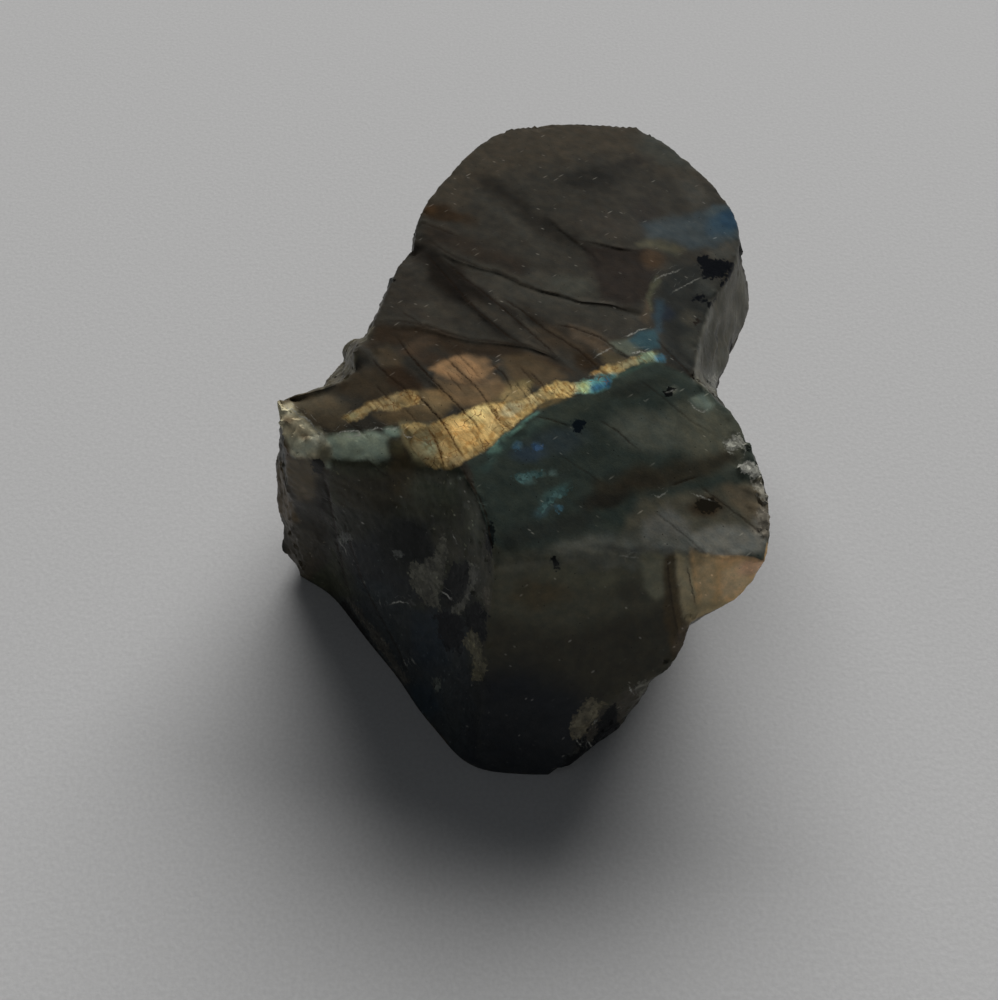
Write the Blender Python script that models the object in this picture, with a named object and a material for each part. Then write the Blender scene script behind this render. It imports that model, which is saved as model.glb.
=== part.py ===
"""Rough labradorite chunk, about 75 x 56 x 30 mm, resting on its worn flat base.

The stone is one solid. Ribs run round its outline, each from the rim of the cleaved top,
over a belt part way down the side, to the edge of the flat base. The top is a coarse sheet
of planar facets between the rim and a few crown points, broken by curved cleavage ledges.
Lengths are millimetres until the mesh is made.
"""

import math
import random

import bpy
from mathutils import Vector, noise
from mathutils.bvhtree import BVHTree
from mathutils.geometry import delaunay_2d_cdt

NODE_NAME = "labradorite_chunk"
SEED = 41
METRES_PER_MM = 0.001

RIM_STEP = 1.7  # length of the rim's broken edges
FILL_STEP = 1.55  # spacing of the top's small facets
RINGS_TO_BELT = 6
RINGS_TO_FOOT = 5
RIM_CHIP = 0.13
WALL_CHIP = 0.5
FRONT_SMOOTHNESS = 0.45  # share of the roughness that the front faces keep
FOOT_CHIP = 0.3
TOP_CHIP = 0.06
TOP_SWELL = 0.16
LEDGE_GAP = 0.38  # plan width of a ledge's riser
LEDGE_FADE = 3.2  # how far below a ledge the floor climbs back
LEDGE_END = 2.2  # length over which a ledge dies out
WALL_LEDGE_HEIGHT = 4.6
WALL_LEDGE_DEPTH = 1.5
FRONT_LIMIT = -0.25
FOOT_BLEND = 3.0  # height over which the roughness dies out toward the base
CLEAR_OF_RIM = 0.85
CLEAR_OF_LINES = 0.6

STONE_COLOUR = (0.055, 0.052, 0.045, 1.0)
STONE_ROUGHNESS = 0.38

# Each rib: its place, rim (x, y, z), belt (x, y, z), foot (x, y).
RIBS = (
    # left end: a brown slab stands out below the chipped corner
    ("slab edge", (-25.8, -9.4, 26.0), (-28.3, -5.3, 14.0), (-28.2, -9.7)),
    ("slab front", (-25.2, -11.4, 24.7), (-26.1, -10.3, 13.0), (-25.8, -11.4)),
    ("slab inner", (-20.2, -14.1, 25.0), (-21.4, -12.6, 12.0), (-22.5, -13.2)),
    # left front slope
    ("slope a", (-16.4, -14.9, 25.8), (-17.7, -16.6, 13.0), (-18.7, -18.6)),
    ("slope b", (-12.7, -15.5, 26.7), (-13.8, -20.0, 13.0), (-14.4, -24.3)),
    ("slope c", (-9.5, -16.8, 28.0), (-10.7, -23.0, 12.5), (-11.6, -28.8)),
    ("slope d", (-6.7, -17.7, 29.3), (-8.0, -26.2, 12.5), (-9.0, -32.4)),
    ("slope e", (-4.6, -21.3, 28.3), (-6.0, -29.4, 12.5), (-6.9, -35.0)),
    # front face down to the tip
    ("front left", (-2.9, -27.0, 26.0), (-4.0, -32.3, 12.5), (-5.2, -36.5)),
    ("front a", (0.6, -26.4, 25.6), (-1.1, -32.7, 12.3), (-2.4, -36.7)),
    ("front b", (3.5, -26.0, 25.2), (2.1, -33.8, 8.6), (1.1, -37.1)),
    ("tip", (6.6, -25.7, 24.7), (4.7, -36.0, 3.0), (5.0, -37.4)),
    ("under a", (9.1, -25.3, 24.4), (6.6, -34.7, 5.0), (7.0, -35.7)),
    ("under b", (11.6, -25.1, 24.0), (8.2, -33.1, 7.7), (8.8, -34.0)),
    ("under c", (13.5, -25.0, 23.7), (10.1, -32.3, 8.9), (10.6, -32.8)),
    ("under d", (15.3, -24.8, 23.5), (12.9, -31.4, 9.8), (13.0, -29.2)),
    ("front right", (16.8, -24.6, 23.3), (15.5, -30.2, 11.1), (13.2, -25.4)),
    # thin overhanging fan and the right lobe above its undercut
    ("notch", (18.0, -24.6, 23.1), (16.8, -29.1, 13.4), (14.2, -23.4)),
    ("fan root", (19.0, -24.5, 22.9), (17.4, -27.9, 16.0), (15.3, -21.5)),
    ("fan a", (20.4, -24.3, 22.7), (18.6, -27.3, 16.7), (16.8, -20.0)),
    ("fan b", (22.0, -24.1, 22.5), (20.5, -26.8, 17.2), (17.8, -17.5)),
    ("fan c", (23.5, -24.3, 22.2), (22.3, -26.0, 18.2), (18.6, -15.0)),
    ("fan d", (24.5, -24.5, 22.0), (23.7, -25.0, 19.9), (19.2, -12.5)),
    ("lobe a", (25.3, -22.0, 22.6), (24.4, -20.5, 16.0), (19.6, -10.5)),
    ("lobe b", (25.5, -18.8, 23.5), (24.3, -17.0, 15.0), (20.0, -8.5)),
    ("lobe c", (25.3, -16.0, 24.4), (24.0, -13.8, 15.0), (20.2, -6.5)),
    ("lobe d", (24.5, -13.6, 25.3), (23.6, -11.0, 15.0), (20.4, -4.5)),
    ("lobe e", (23.7, -11.3, 26.1), (23.2, -8.6, 16.0), (20.5, -2.6)),
    ("lobe f", (22.5, -9.1, 27.0), (22.8, -6.4, 18.0), (20.5, -0.9)),
    ("lobe g", (21.4, -7.9, 27.5), (22.4, -4.3, 20.5), (20.5, 0.6)),
    # waist and the sloping grey shoulder on the right
    ("waist", (18.8, -5.9, 28.6), (22.0, -2.2, 23.0), (20.4, 2.2)),
    ("shoulder a", (18.1, -5.0, 28.6), (22.7, 3.0, 20.0), (20.4, 4.2)),
    ("shoulder b", (18.7, -2.1, 28.3), (23.8, 6.0, 19.0), (20.5, 6.4)),
    ("shoulder c", (20.2, 2.7, 28.0), (25.4, 10.2, 18.0), (20.9, 8.6)),
    ("shoulder d", (21.5, 7.9, 27.6), (26.9, 13.2, 17.5), (21.3, 10.6)),
    ("shoulder e", (24.1, 12.4, 27.2), (27.8, 16.1, 18.0), (21.7, 12.6)),
    ("shoulder f", (25.2, 15.5, 27.0), (28.1, 18.6, 19.0), (21.8, 14.6)),
    ("shoulder g", (25.9, 18.6, 27.0), (27.6, 20.3, 20.0), (21.6, 16.5)),
    # far end, undercut behind
    ("far corner", (26.2, 21.6, 27.2), (26.6, 22.2, 17.0), (21.0, 18.3)),
    ("far a", (25.2, 23.9, 27.8), (25.3, 24.3, 15.5), (20.0, 20.0)),
    ("far b", (23.6, 26.7, 28.3), (23.4, 26.8, 15.0), (18.5, 21.6)),
    ("far c", (21.9, 29.0, 28.8), (21.4, 28.8, 16.0), (16.6, 22.9)),
    ("far d", (19.7, 31.8, 29.2), (19.4, 31.0, 17.0), (14.2, 24.2)),
    ("far e", (17.6, 34.3, 29.5), (17.0, 33.4, 17.0), (11.6, 25.3)),
    ("far f", (15.0, 36.3, 29.8), (14.0, 35.0, 16.0), (9.0, 26.0)),
    ("far g", (10.0, 36.6, 30.0), (9.6, 35.3, 14.5), (5.6, 26.6)),
    ("far h", (5.1, 37.4, 30.0), (4.9, 35.6, 14.0), (2.0, 26.4)),
    ("far i", (0.7, 36.8, 30.0), (0.6, 34.8, 15.0), (-1.2, 25.6)),
    ("far j", (-2.4, 35.4, 30.0), (-2.6, 33.2, 15.5), (-3.8, 24.1)),
    ("far k", (-4.8, 32.9, 30.0), (-5.4, 31.0, 15.0), (-6.4, 22.1)),
    ("far l", (-7.2, 29.5, 29.9), (-8.0, 28.3, 14.0), (-8.8, 19.6)),
    # back left side, with a low lump below the rim
    ("back a", (-9.5, 25.4, 29.8), (-10.3, 24.6, 14.0), (-10.9, 17.1)),
    ("back b", (-11.2, 22.3, 29.6), (-12.0, 21.8, 15.0), (-12.6, 15.1)),
    ("back c", (-12.1, 19.2, 29.4), (-13.2, 19.0, 16.0), (-14.1, 13.1)),
    ("back d", (-12.3, 14.9, 29.2), (-13.9, 16.0, 16.5), (-15.6, 11.3)),
    ("back e", (-13.8, 12.7, 29.1), (-15.3, 13.7, 17.5), (-17.1, 9.8)),
    ("back f", (-14.9, 8.7, 29.0), (-16.4, 11.6, 19.0), (-18.5, 8.5)),
    ("lump a", (-16.4, 2.7, 28.8), (-17.5, 10.1, 20.0), (-19.8, 7.4)),
    ("lump b", (-17.1, -0.1, 28.5), (-20.9, 10.9, 16.0), (-21.0, 6.3)),
    ("lump c", (-18.9, -5.6, 28.3), (-21.9, 9.4, 15.0), (-22.2, 4.6)),
    ("lump d", (-21.6, -5.9, 28.0), (-23.2, 7.8, 14.0), (-23.4, 2.6)),
    ("left a", (-24.8, -6.4, 27.4), (-25.3, 1.6, 13.5), (-24.4, -0.4)),
    ("left corner", (-26.1, -7.2, 27.0), (-27.2, -2.6, 14.0), (-26.0, -4.2)),
)

# A rib whose side isn't straight from rim to belt passes this point.
SHOULDERS = {
    "slab edge": (-26.3, -8.6, 20.0),
    "left corner": (-26.3, -6.2, 21.0),
    "front right": (17.2, -26.9, 18.0),
    "lobe a": (25.0, -21.8, 20.0),
    "lobe b": (25.2, -18.6, 20.5),
    "lobe c": (25.0, -15.7, 21.0),
}

# Crown points inside the rim, between which the top is planar.
CROWN = (
    (-18.6, -11.2, 27.3),
    (-23.5, -9.9, 26.6),
    (-9.9, -3.4, 29.6),
    (-5.7, 5.4, 30.0),
    (0.0, 22.1, 30.1),
    (10.7, 25.6, 30.2),
    (13.2, 8.4, 30.2),
    (7.3, 0.3, 30.4),
    (0.8, -5.4, 30.2),
    (21.0, 18.5, 28.6),
    (17.7, 6.4, 29.1),
)

# Ridges where two facets of the top meet; the first falls away to the dark front facet.
FRONT_RIDGE = ((-5.6, -16.8, 29.6), (-2.4, -14.4, 29.9), (1.7, -10.9, 30.1), (8.0, -7.7, 30.2),
               (14.1, -4.0, 30.0), (17.0, -4.6, 29.2))
LEFT_STRIP_RIDGE = ((-18.6, -11.2, 27.3), (-12.7, -12.5, 28.4), (-8.9, -15.0, 29.0))

# Cleavage ledges on the top, far end first, as depth and plan line. The floor drops on the
# right hand of each line.
LEDGES = (
    (0.30, ((-11.0, 18.0), (-9.3, 17.1), (-6.7, 15.6))),
    (0.35, ((2.9, 19.5), (4.5, 17.1), (6.1, 15.2), (8.1, 12.8), (9.3, 10.5))),
    (0.40, ((7.2, 14.9), (9.1, 14.5), (11.3, 13.7), (14.5, 13.4))),
    (0.50, ((-10.4, 15.2), (-9.2, 13.9), (-7.5, 12.3), (-4.6, 10.7), (-2.4, 9.9), (-0.2, 8.2),
            (2.1, 7.0), (4.3, 6.3), (6.4, 5.1), (9.7, 4.6), (12.4, 3.8), (14.3, 3.7))),
    (0.30, ((-8.5, 11.5), (-6.5, 9.1), (-4.2, 6.5), (-2.4, 4.4), (-1.1, 3.2))),
    (0.50, ((-10.6, 11.4), (-8.5, 8.4), (-6.3, 5.7), (-4.8, 3.7), (-3.5, 2.1), (-1.3, -0.3))),
    (0.40, ((-1.7, 5.2), (0.9, 2.7), (2.5, 0.9), (4.1, -0.5), (5.9, -2.3), (7.9, -4.8))),
    (0.40, ((3.7, 1.5), (6.3, 0.4), (8.4, -1.1), (10.4, -2.6), (12.1, -4.0))),
    (0.65, ((-15.2, 2.0), (-13.3, 2.1), (-10.5, 1.5), (-8.0, 0.3), (-5.6, -0.6), (-2.4, -1.1),
            (0.8, -1.7), (3.1, -3.0), (5.3, -5.3))),
    (0.25, ((-0.3, -4.9), (1.0, -6.6), (2.5, -8.2))),
    (0.30, ((-3.2, -4.3), (-2.1, -5.6), (-1.3, -7.3))),
    (0.35, ((-7.5, -4.5), (-5.9, -6.6), (-4.3, -8.9), (-2.9, -11.0))),
    (0.50, ((-13.3, -0.9), (-11.8, -3.4), (-10.4, -5.3), (-8.7, -7.1), (-6.7, -10.0),
            (-5.9, -11.3), (-4.6, -13.3))),
    (0.35, ((-15.3, -4.6), (-13.7, -6.5), (-12.1, -8.5), (-11.1, -10.2))),
    (0.50, ((-10.6, -9.0), (-9.2, -11.3), (-7.7, -13.7), (-6.9, -15.2))),
)


# Broad fracture facets on the far and under sides: the direction each faces, how far it
# leans under (degrees), and how deep it cuts into the bulge (mm).
HIDDEN_FACETS = (
    (-52, 42, 1.2),
    (-26, 46, 1.6),
    (6, 48, 1.8),
    (34, 40, 2.0),
    (57, 10, 1.1),
    (70, 46, 2.6),
    (86, 6, 0.9),
    (101, 38, 2.6),
    (119, 13, 1.5),
    (137, 42, 2.2),
    (166, 40, 1.6),
)


def clear_scene():
    for obj in list(bpy.data.objects):
        bpy.data.objects.remove(obj, do_unlink=True)


def along(points, step):
    """The line through these plan points, with a point about every step."""
    made = [Vector(points[0])]
    for start, end in zip(points, points[1:]):
        start, end = Vector(start), Vector(end)
        pieces = max(1, round((end - start).length / step))
        made += [start.lerp(end, i / pieces) for i in range(1, pieces + 1)]
    return made


def side_distance(point, line):
    """(distance to the right of the line, distance from its nearer end), measured in plan."""
    best, passed = None, 0.0
    for start, end in zip(line, line[1:]):
        run = end - start
        length = run.length
        t = min(1.0, max(0.0, (point - start).dot(run) / length**2))
        away = point - (start + run * t)
        right = away.x * run.y - away.y * run.x
        if best is None or away.length < best[0]:
            best = (away.length, math.copysign(away.length, right), passed + t * length)
        passed += length
    _, signed, reached = best
    return signed, min(reached, passed - reached)


def ledge_drop(point):
    """How far the ledges lower the top at this plan point."""
    drop = 0.0
    for depth, line in LEDGE_LINES:
        signed, from_end = side_distance(point, line)
        if signed <= 0.05:
            continue
        fade = math.exp(-signed / LEDGE_FADE) * min(1.0, from_end / LEDGE_END)
        drop = max(drop, depth * fade)
    return drop


def chip(point, size, frequency):
    """A broken-surface offset that is the same wherever the same point comes up."""
    return noise.noise_vector(point * frequency) * size


def ribs_as_profiles():
    """For each rib its rim, shoulder, belt and foot as points in space."""
    profiles = []
    for name, rim, belt, foot in RIBS:
        rim, belt = Vector(rim), Vector(belt)
        shoulder = Vector(SHOULDERS[name]) if name in SHOULDERS else rim.lerp(belt, 0.45)
        profiles.append((rim, shoulder, belt, Vector((*foot, 0.0))))
    return profiles


def stations(profiles):
    """The profiles with straight interpolation between neighbours, about a RIM_STEP apart."""
    made = []
    for this, following in zip(profiles, profiles[1:] + profiles[:1]):
        belt_run = (following[2] - this[2]).length
        run = max((following[0] - this[0]).length, 0.6 * belt_run)
        pieces = max(1, round(run / RIM_STEP))
        for i in range(pieces):
            made.append([a.lerp(b, i / pieces) for a, b in zip(this, following)])
    return made


def outward(profile):
    """The level direction away from the stone's middle at this profile."""
    level = Vector((profile[2].x, profile[2].y, 0.0))
    return level.normalized()


def roughness(profile):
    """The front faces broke along smooth joints; the other sides are hackly."""
    return FRONT_SMOOTHNESS if outward(profile).y < FRONT_LIMIT else 1.0


def wall_point(profile, share):
    """The point this share of the way from rim (0) over belt (1) to foot (2)."""
    rim, shoulder, belt, foot = profile
    if share <= 0.5:
        return rim.lerp(shoulder, share * 2)
    if share <= 1.0:
        return shoulder.lerp(belt, share * 2 - 1)
    return belt.lerp(foot, share - 1)


def wall_rings(profiles):
    """Closed rings of points from the rim to the foot, roughened as broken stone is."""
    shares = [i / RINGS_TO_BELT for i in range(RINGS_TO_BELT)]
    shares += [1 + i / RINGS_TO_FOOT for i in range(RINGS_TO_FOOT + 1)]
    rings = []
    for share in shares:
        ring = []
        for profile in profiles:
            point = wall_point(profile, share)
            if share == 0:
                moved = point + chip(point, RIM_CHIP, 0.9)
            elif share == 2:
                moved = point + chip(point, FOOT_CHIP, 0.5)
                moved.z = 0.0
            else:
                # Ledges follow the cleavage, so they run level round the sides.
                level = point.z + 1.4 * noise.noise(point * 0.16)
                step = (level / WALL_LEDGE_HEIGHT) % 1.0
                depth = WALL_LEDGE_DEPTH * (0.5 - step) * noise.noise(point * 0.11)
                rough = outward(profile) * depth + chip(point, WALL_CHIP, 0.31)
                rough += chip(point, WALL_CHIP * 0.4, 1.1)
                rough *= roughness(profile) * min(1.0, point.z / FOOT_BLEND)
                moved = point + rough
            ring.append(moved)
        rings.append(ring)
    for direction, lean, depth in HIDDEN_FACETS:
        cut_facet(rings, direction, lean, depth)
    return rings


def cut_facet(rings, direction, lean, depth):
    """Flatten what stands beyond a plane facing this way, moving points level."""
    turn, lean = math.radians(direction), math.radians(lean)
    level = Vector((math.cos(turn), math.sin(turn), 0.0))
    facing = level * math.cos(lean) - Vector((0, 0, math.sin(lean)))
    reach = max(facing.dot(p) for ring in rings[1:] for p in ring) - depth
    for ring in rings[1:]:
        hold = 0.5 if ring is rings[1] else 0.0
        for point in ring:
            beyond = facing.dot(point) - reach
            if beyond > 0:
                point -= level * (beyond / math.cos(lean) * (1 - hold))


def coarse_top(rim):
    """The planar facets of the top, for reading its height at any plan point."""
    points = [p.copy() for p in rim]
    edges = []
    for ridge in (FRONT_RIDGE, LEFT_STRIP_RIDGE):
        first = len(points)
        points += [Vector(p) for p in ridge]
        edges += [(i, i + 1) for i in range(first, first + len(ridge) - 1)]
    points += [Vector(p) for p in CROWN if p not in LEFT_STRIP_RIDGE]
    loop = list(range(len(rim)))
    flat, _, faces, origins, _, _ = delaunay_2d_cdt([p.xy for p in points], edges, [loop], 1, 1e-5)
    corners = [points[origin[0]] for origin in origins]
    assert len(flat) == len(points), "a ridge leaves the rim"
    return BVHTree.FromPolygons(corners, faces)


def top_height(point, facets):
    """Height of the top at a plan point inside the rim."""
    above = Vector((point.x, point.y, 100.0))
    place, _, _, _ = facets.ray_cast(above, Vector((0, 0, -1)))
    swell = TOP_SWELL * noise.noise(Vector((point.x, point.y, 3.0)) * 0.21)
    grain = TOP_CHIP * noise.noise(Vector((point.x, point.y, 9.0)) * 1.3)
    return place.z + swell + grain - ledge_drop(point)


def distance_to(point, line, closed=False):
    """Plan distance from the point to the nearest part of the line."""
    ends = line[1:] + line[:1] if closed else line[1:]
    nearest = math.inf
    for start, end in zip(line, ends):
        run = end - start
        t = min(1.0, max(0.0, (point - start).dot(run) / max(run.length_squared, 1e-9)))
        nearest = min(nearest, (point - start - run * t).length)
    return nearest


def inside(point, loop):
    """Whether the plan point lies within the closed loop."""
    within = False
    for a, b in zip(loop, loop[1:] + loop[:1]):
        if (a.y > point.y) != (b.y > point.y):
            within ^= point.x < a.x + (b.x - a.x) * (point.y - a.y) / (b.y - a.y)
    return within


def shifted_right(line, distance):
    """The line moved to its right hand in plan."""
    moved = []
    for i, point in enumerate(line):
        run = (line[min(i + 1, len(line) - 1)] - line[max(i - 1, 0)]).normalized()
        moved.append(point + Vector((run.y, -run.x)) * distance)
    return moved


def fine_top(rim):
    """(points, faces) of the top with its ledges; the first points are the rim's, unmoved."""
    facets = coarse_top(rim)
    rim_plan = [p.xy for p in rim]
    lines = []
    for _, line in LEDGE_LINES:
        upper = along(line, FILL_STEP)
        lines += [upper, shifted_right(upper, LEDGE_GAP)]
    for ridge in (FRONT_RIDGE, LEFT_STRIP_RIDGE):
        lines.append(along([p[:2] for p in ridge], FILL_STEP))
    plan = list(rim_plan)
    edges = []
    for line in lines:
        kept = [p for p in line if inside(p, rim_plan) and distance_to(p, rim_plan, True) > 0.4]
        first = len(plan)
        plan += kept
        edges += [(i, i + 1) for i in range(first, first + len(kept) - 1)]
    draw = random.Random(SEED)
    row, y = 0, min(p.y for p in rim_plan)
    while y < max(p.y for p in rim_plan):
        x = min(p.x for p in rim_plan) + (FILL_STEP / 2 if row % 2 else 0.0)
        while x < max(p.x for p in rim_plan):
            point = Vector((x + draw.uniform(-0.4, 0.4), y + draw.uniform(-0.4, 0.4)))
            x += FILL_STEP
            if not inside(point, rim_plan) or distance_to(point, rim_plan, True) < CLEAR_OF_RIM:
                continue
            if min(distance_to(point, line) for line in lines) > CLEAR_OF_LINES:
                plan.append(point)
        row += 1
        y += FILL_STEP * math.sqrt(3) / 2
    loop = list(range(len(rim)))
    flat, _, faces, origins, _, _ = delaunay_2d_cdt(plan, edges, [loop], 1, 1e-5)
    place = {origin: i for i, found in enumerate(origins) for origin in found}
    assert len({place[i] for i in loop}) == len(loop), "the rim closes on itself"
    order = [place[i] for i in loop]
    order += [i for i in range(len(flat)) if i not in set(order)]
    number = {old: new for new, old in enumerate(order)}
    points = [p.copy() for p in rim]
    points += [Vector((flat[i].x, flat[i].y, top_height(flat[i], facets))) for i in order[len(rim):]]
    return points, [[number[i] for i in face] for face in faces]


def flat_base(foot):
    """Triangles that fill the foot's outline, as places round it."""
    loop = list(range(len(foot)))
    _, _, faces, origins, _, _ = delaunay_2d_cdt([p.xy for p in foot], [], [loop], 1, 1e-5)
    return [[origins[i][0] for i in face] for face in faces]


def stone_mesh():
    rings = wall_rings(stations(ribs_as_profiles()))
    count = len(rings[0])
    points, faces = fine_top(rings[0])
    starts = [0]
    for ring in rings[1:]:
        starts.append(len(points))
        points += ring
    for upper, lower in zip(starts, starts[1:]):
        for i in range(count):
            j = (i + 1) % count
            a, b, c, d = upper + i, lower + i, lower + j, upper + j
            # Each wall quad is split along its shorter diagonal, which keeps undercuts clean.
            if (points[a] - points[c]).length < (points[b] - points[d]).length:
                faces += [[a, b, c], [a, c, d]]
            else:
                faces += [[a, b, d], [b, c, d]]
    faces += [[starts[-1] + i for i in reversed(face)] for face in flat_base(rings[-1])]
    low = Vector(min(p[axis] for p in points) for axis in range(3))
    high = Vector(max(p[axis] for p in points) for axis in range(3))
    centre = Vector(((low.x + high.x) / 2, (low.y + high.y) / 2, low.z))
    mesh = bpy.data.meshes.new(NODE_NAME)
    mesh.from_pydata([(p - centre) * METRES_PER_MM for p in points], [], faces)
    mesh.validate()
    mesh.update()
    return mesh


def stone_material():
    material = bpy.data.materials.new("labradorite")
    material.use_nodes = True
    surface = material.node_tree.nodes["Principled BSDF"]
    surface.inputs["Base Color"].default_value = STONE_COLOUR
    surface.inputs["Roughness"].default_value = STONE_ROUGHNESS
    surface.inputs["Metallic"].default_value = 0.0
    return material


noise.seed_set(SEED)
LEDGE_LINES = [(depth, [Vector(p) for p in line]) for depth, line in LEDGES]

clear_scene()
stone = bpy.data.objects.new(NODE_NAME, stone_mesh())
stone.data.materials.append(stone_material())
bpy.context.scene.collection.objects.link(stone)
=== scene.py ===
"""Looks of the rough labradorite chunk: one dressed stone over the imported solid.

The stone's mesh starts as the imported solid, is cut finer where the photograph's camera sees it,
and gets its broken texture as real relief. Its colour is worked out point by point from named
markings, which are placed as the photograph's camera sees them, and from seeded noise.
Lengths are millimetres until the mesh is written, and colours are thousandths of full red,
green and blue until they are laid. A name that ends in PX is in the photograph's pixels.
"""

import math

import bmesh
import bpy
import numpy as np
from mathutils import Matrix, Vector, noise
from mathutils.kdtree import KDTree


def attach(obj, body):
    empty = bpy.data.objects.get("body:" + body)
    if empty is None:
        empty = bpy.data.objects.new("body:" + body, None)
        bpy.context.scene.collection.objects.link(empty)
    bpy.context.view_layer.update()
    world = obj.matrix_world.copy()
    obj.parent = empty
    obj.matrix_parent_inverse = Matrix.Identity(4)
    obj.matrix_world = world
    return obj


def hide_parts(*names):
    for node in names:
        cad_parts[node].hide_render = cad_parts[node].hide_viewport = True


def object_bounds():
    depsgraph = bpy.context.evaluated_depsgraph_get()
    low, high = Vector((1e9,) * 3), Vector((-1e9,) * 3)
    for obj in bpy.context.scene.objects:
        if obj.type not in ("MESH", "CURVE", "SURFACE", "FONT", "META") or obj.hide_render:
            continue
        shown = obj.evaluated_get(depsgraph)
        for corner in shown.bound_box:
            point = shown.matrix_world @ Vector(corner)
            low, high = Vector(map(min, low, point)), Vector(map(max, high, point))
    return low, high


NODE = "labradorite_chunk"
SEED = 41
MM = 0.001

# The photograph's camera: it looks along +Y and down, without roll.
TARGET = (-2.273, -10.993, 15.0)
DISTANCE = 155.0
ELEVATION = math.radians(52.0)
LENS = 50.0
SENSOR = 36.0
PIXELS_HIGH = 1000
CENTRE_PX = (499.0, 500.0)

# How long a triangle's edges may be, and how squarely a point faces the camera to count as seen.
SEEN_EDGE = 0.52
HIDDEN_EDGE = 1.0
LINE_EDGE = 0.27
LINE_BAND_PX = 3.0
REFINE_ROUNDS = 7
SEEN_FROM = -0.05
SEEN_BLEND = (0.02, 0.22)
LUMP_SEEN_BLEND = (-0.35, -0.05)

# How far from a sharp colour edge or a crack its distance is written on the mesh.
EDGE_REACH_PX = 8.0
LINE_REACH_PX = 6.0

# Edges sharper than these stay in place while the facets are evened out.
TOP_CREASE = math.radians(9.0)
WALL_CREASE = math.radians(27.0)

# How sharp an outer edge is, which gets nicks, and an edge that isn't shaded smooth.
OUTER_EDGE = math.radians(35.0)
SHARP = math.radians(32.0)

# Evening out: how far each round goes, the rounds for the facets, for the top's ledges, for
# every edge and for the worn edges, and how far the softened ledges and worn edges take over.
RELAX_SHARE = 0.5
RELAX_ROUNDS = 14
LEDGE_ROUNDS = 110
LEDGE_SOFTNESS = 0.94
ROUNDING_ROUNDS = 3
WORN_ROUNDS = 22
WORN_REACH_PX = 14.0
WORN_FACING = (0.0, 0.2)

# How far up a normal points: on the top, where its ledges soften and its relief is low, at an
# outer edge, and where the front's markings take over. The bevel counts as turned up by a little.
TOP_UP = 0.8
LEDGE_BLEND = (0.75, 0.9)
TOP_BLEND = (0.72, 0.88)
OUTER_EDGE_UP = 0.75
TURNED_DOWN = (0.93, 0.74)
BEVEL_LIFT = 0.12
FRONT_BLEND = (0.25, 0.6)

# The base stays flat below these heights.
BASE_HELD = 0.3
BASE_BLEND = (0.3, 3.0)

# Fields of seeded noise: depth, size of the features, shift, and octaves if more than one. The
# relief's depths are millimetres; the wobble's are pixels, for across and down.
WOBBLES = (
    ((3.2, 2.4, 5.0), (1.3, 0.8, 9.0)),
    ((3.2, 2.4, 35.0), (1.3, 0.8, 39.0)),
)
SWELLS = (0.045, 5.0, 61.0)
SKIN = (0.016, 0.9, 65.0, 3)
HACKLE = (0.55, 3.1, 71.0)
FINE_HACKLE = (0.25, 1.3, 75.0)
CHIP_FACETS = (0.42, 1.0, 79.0)
LUMP_GRAIN = (0.30, 1.8, 86.0, 2)
SLOPE_FLAKES = (0.11, 0.9, 81.0)
SLOPE_GRAIN = (0.04, 0.3, 83.0, 2)
RIM_NICKS = (0.38, 2.3, 91.0)
RIM_GRAIN = (0.07, 0.7, 95.0, 2)
BROAD_CLOUDS = (1.0, 9.0, 3.1, 3)
FINE_CLOUDS = (1.0, 2.6, 8.7, 3)
RUST_CLOUDS = (1.0, 6.0, 15.3, 3)
DARK_CLOUDS = (1.0, 5.0, 44.0, 3)
PALE_CLOUDS = (1.0, 6.4, 22.9, 3)

# From which level of their clouds dark and pale patches show out of sight, how steeply their
# edges rise, the noise's roughness and step, and how unlike the tilts of close facets are.
DARK_LEVEL = 0.46
PALE_LEVEL = 0.44
CLOUD_EDGE = 0.8
FRACTAL = (0.7, 2.0)
TILT_SPREAD = 3.7

# How much calmer or rougher each place's hackle is, and the relief's other measures.
FRONT_CALM = 0.85
SHOULDER_CALM = 0.75
RIM_CALM = 0.8
LUMP_CALM = 0.2
CRYSTALS_ROUGH = 0.9
SLOPE_ROUGH = 0.2
CHIPS_ROUGH = 0.5
UNSEEN_ROUGH = 0.9
FLAKE_STRETCH = (1.0, 0.6, 0.6)
LUMP_SWELL = 0.7
LUMP_SWELL_PX = (20.0, 4.0)
RIM_REACH = 1.1
CRACK_DEPTH = 0.07
CRACK_WIDTH_PX = 1.3

# How spots, bands and cracks fade out: shares of a spot's half sizes, of a line's length from its
# two ends, and what is left of its strength there.
SPOT_REACH = 1.4
SPOT_EDGE = (1.35, 0.45)
BAND_TAPER = (0.08, 0.08)
BAND_LEAST = 0.4
CRACK_TAPER = (0.10, 0.22)
CRACK_LEAST = 0.25

# The painted shade on a crack's sunken side, and the painted highlight on its raised side.
SHADE_TAPER = (0.12, 0.12)
SHADE_START_PX = (-1.5, 0.5)
SHADE_FADE = 1.8
LIFT_OFFSET_PX = 3.0
LIFT_WIDTH_PX = 2.0
LIFT = 0.16
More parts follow.
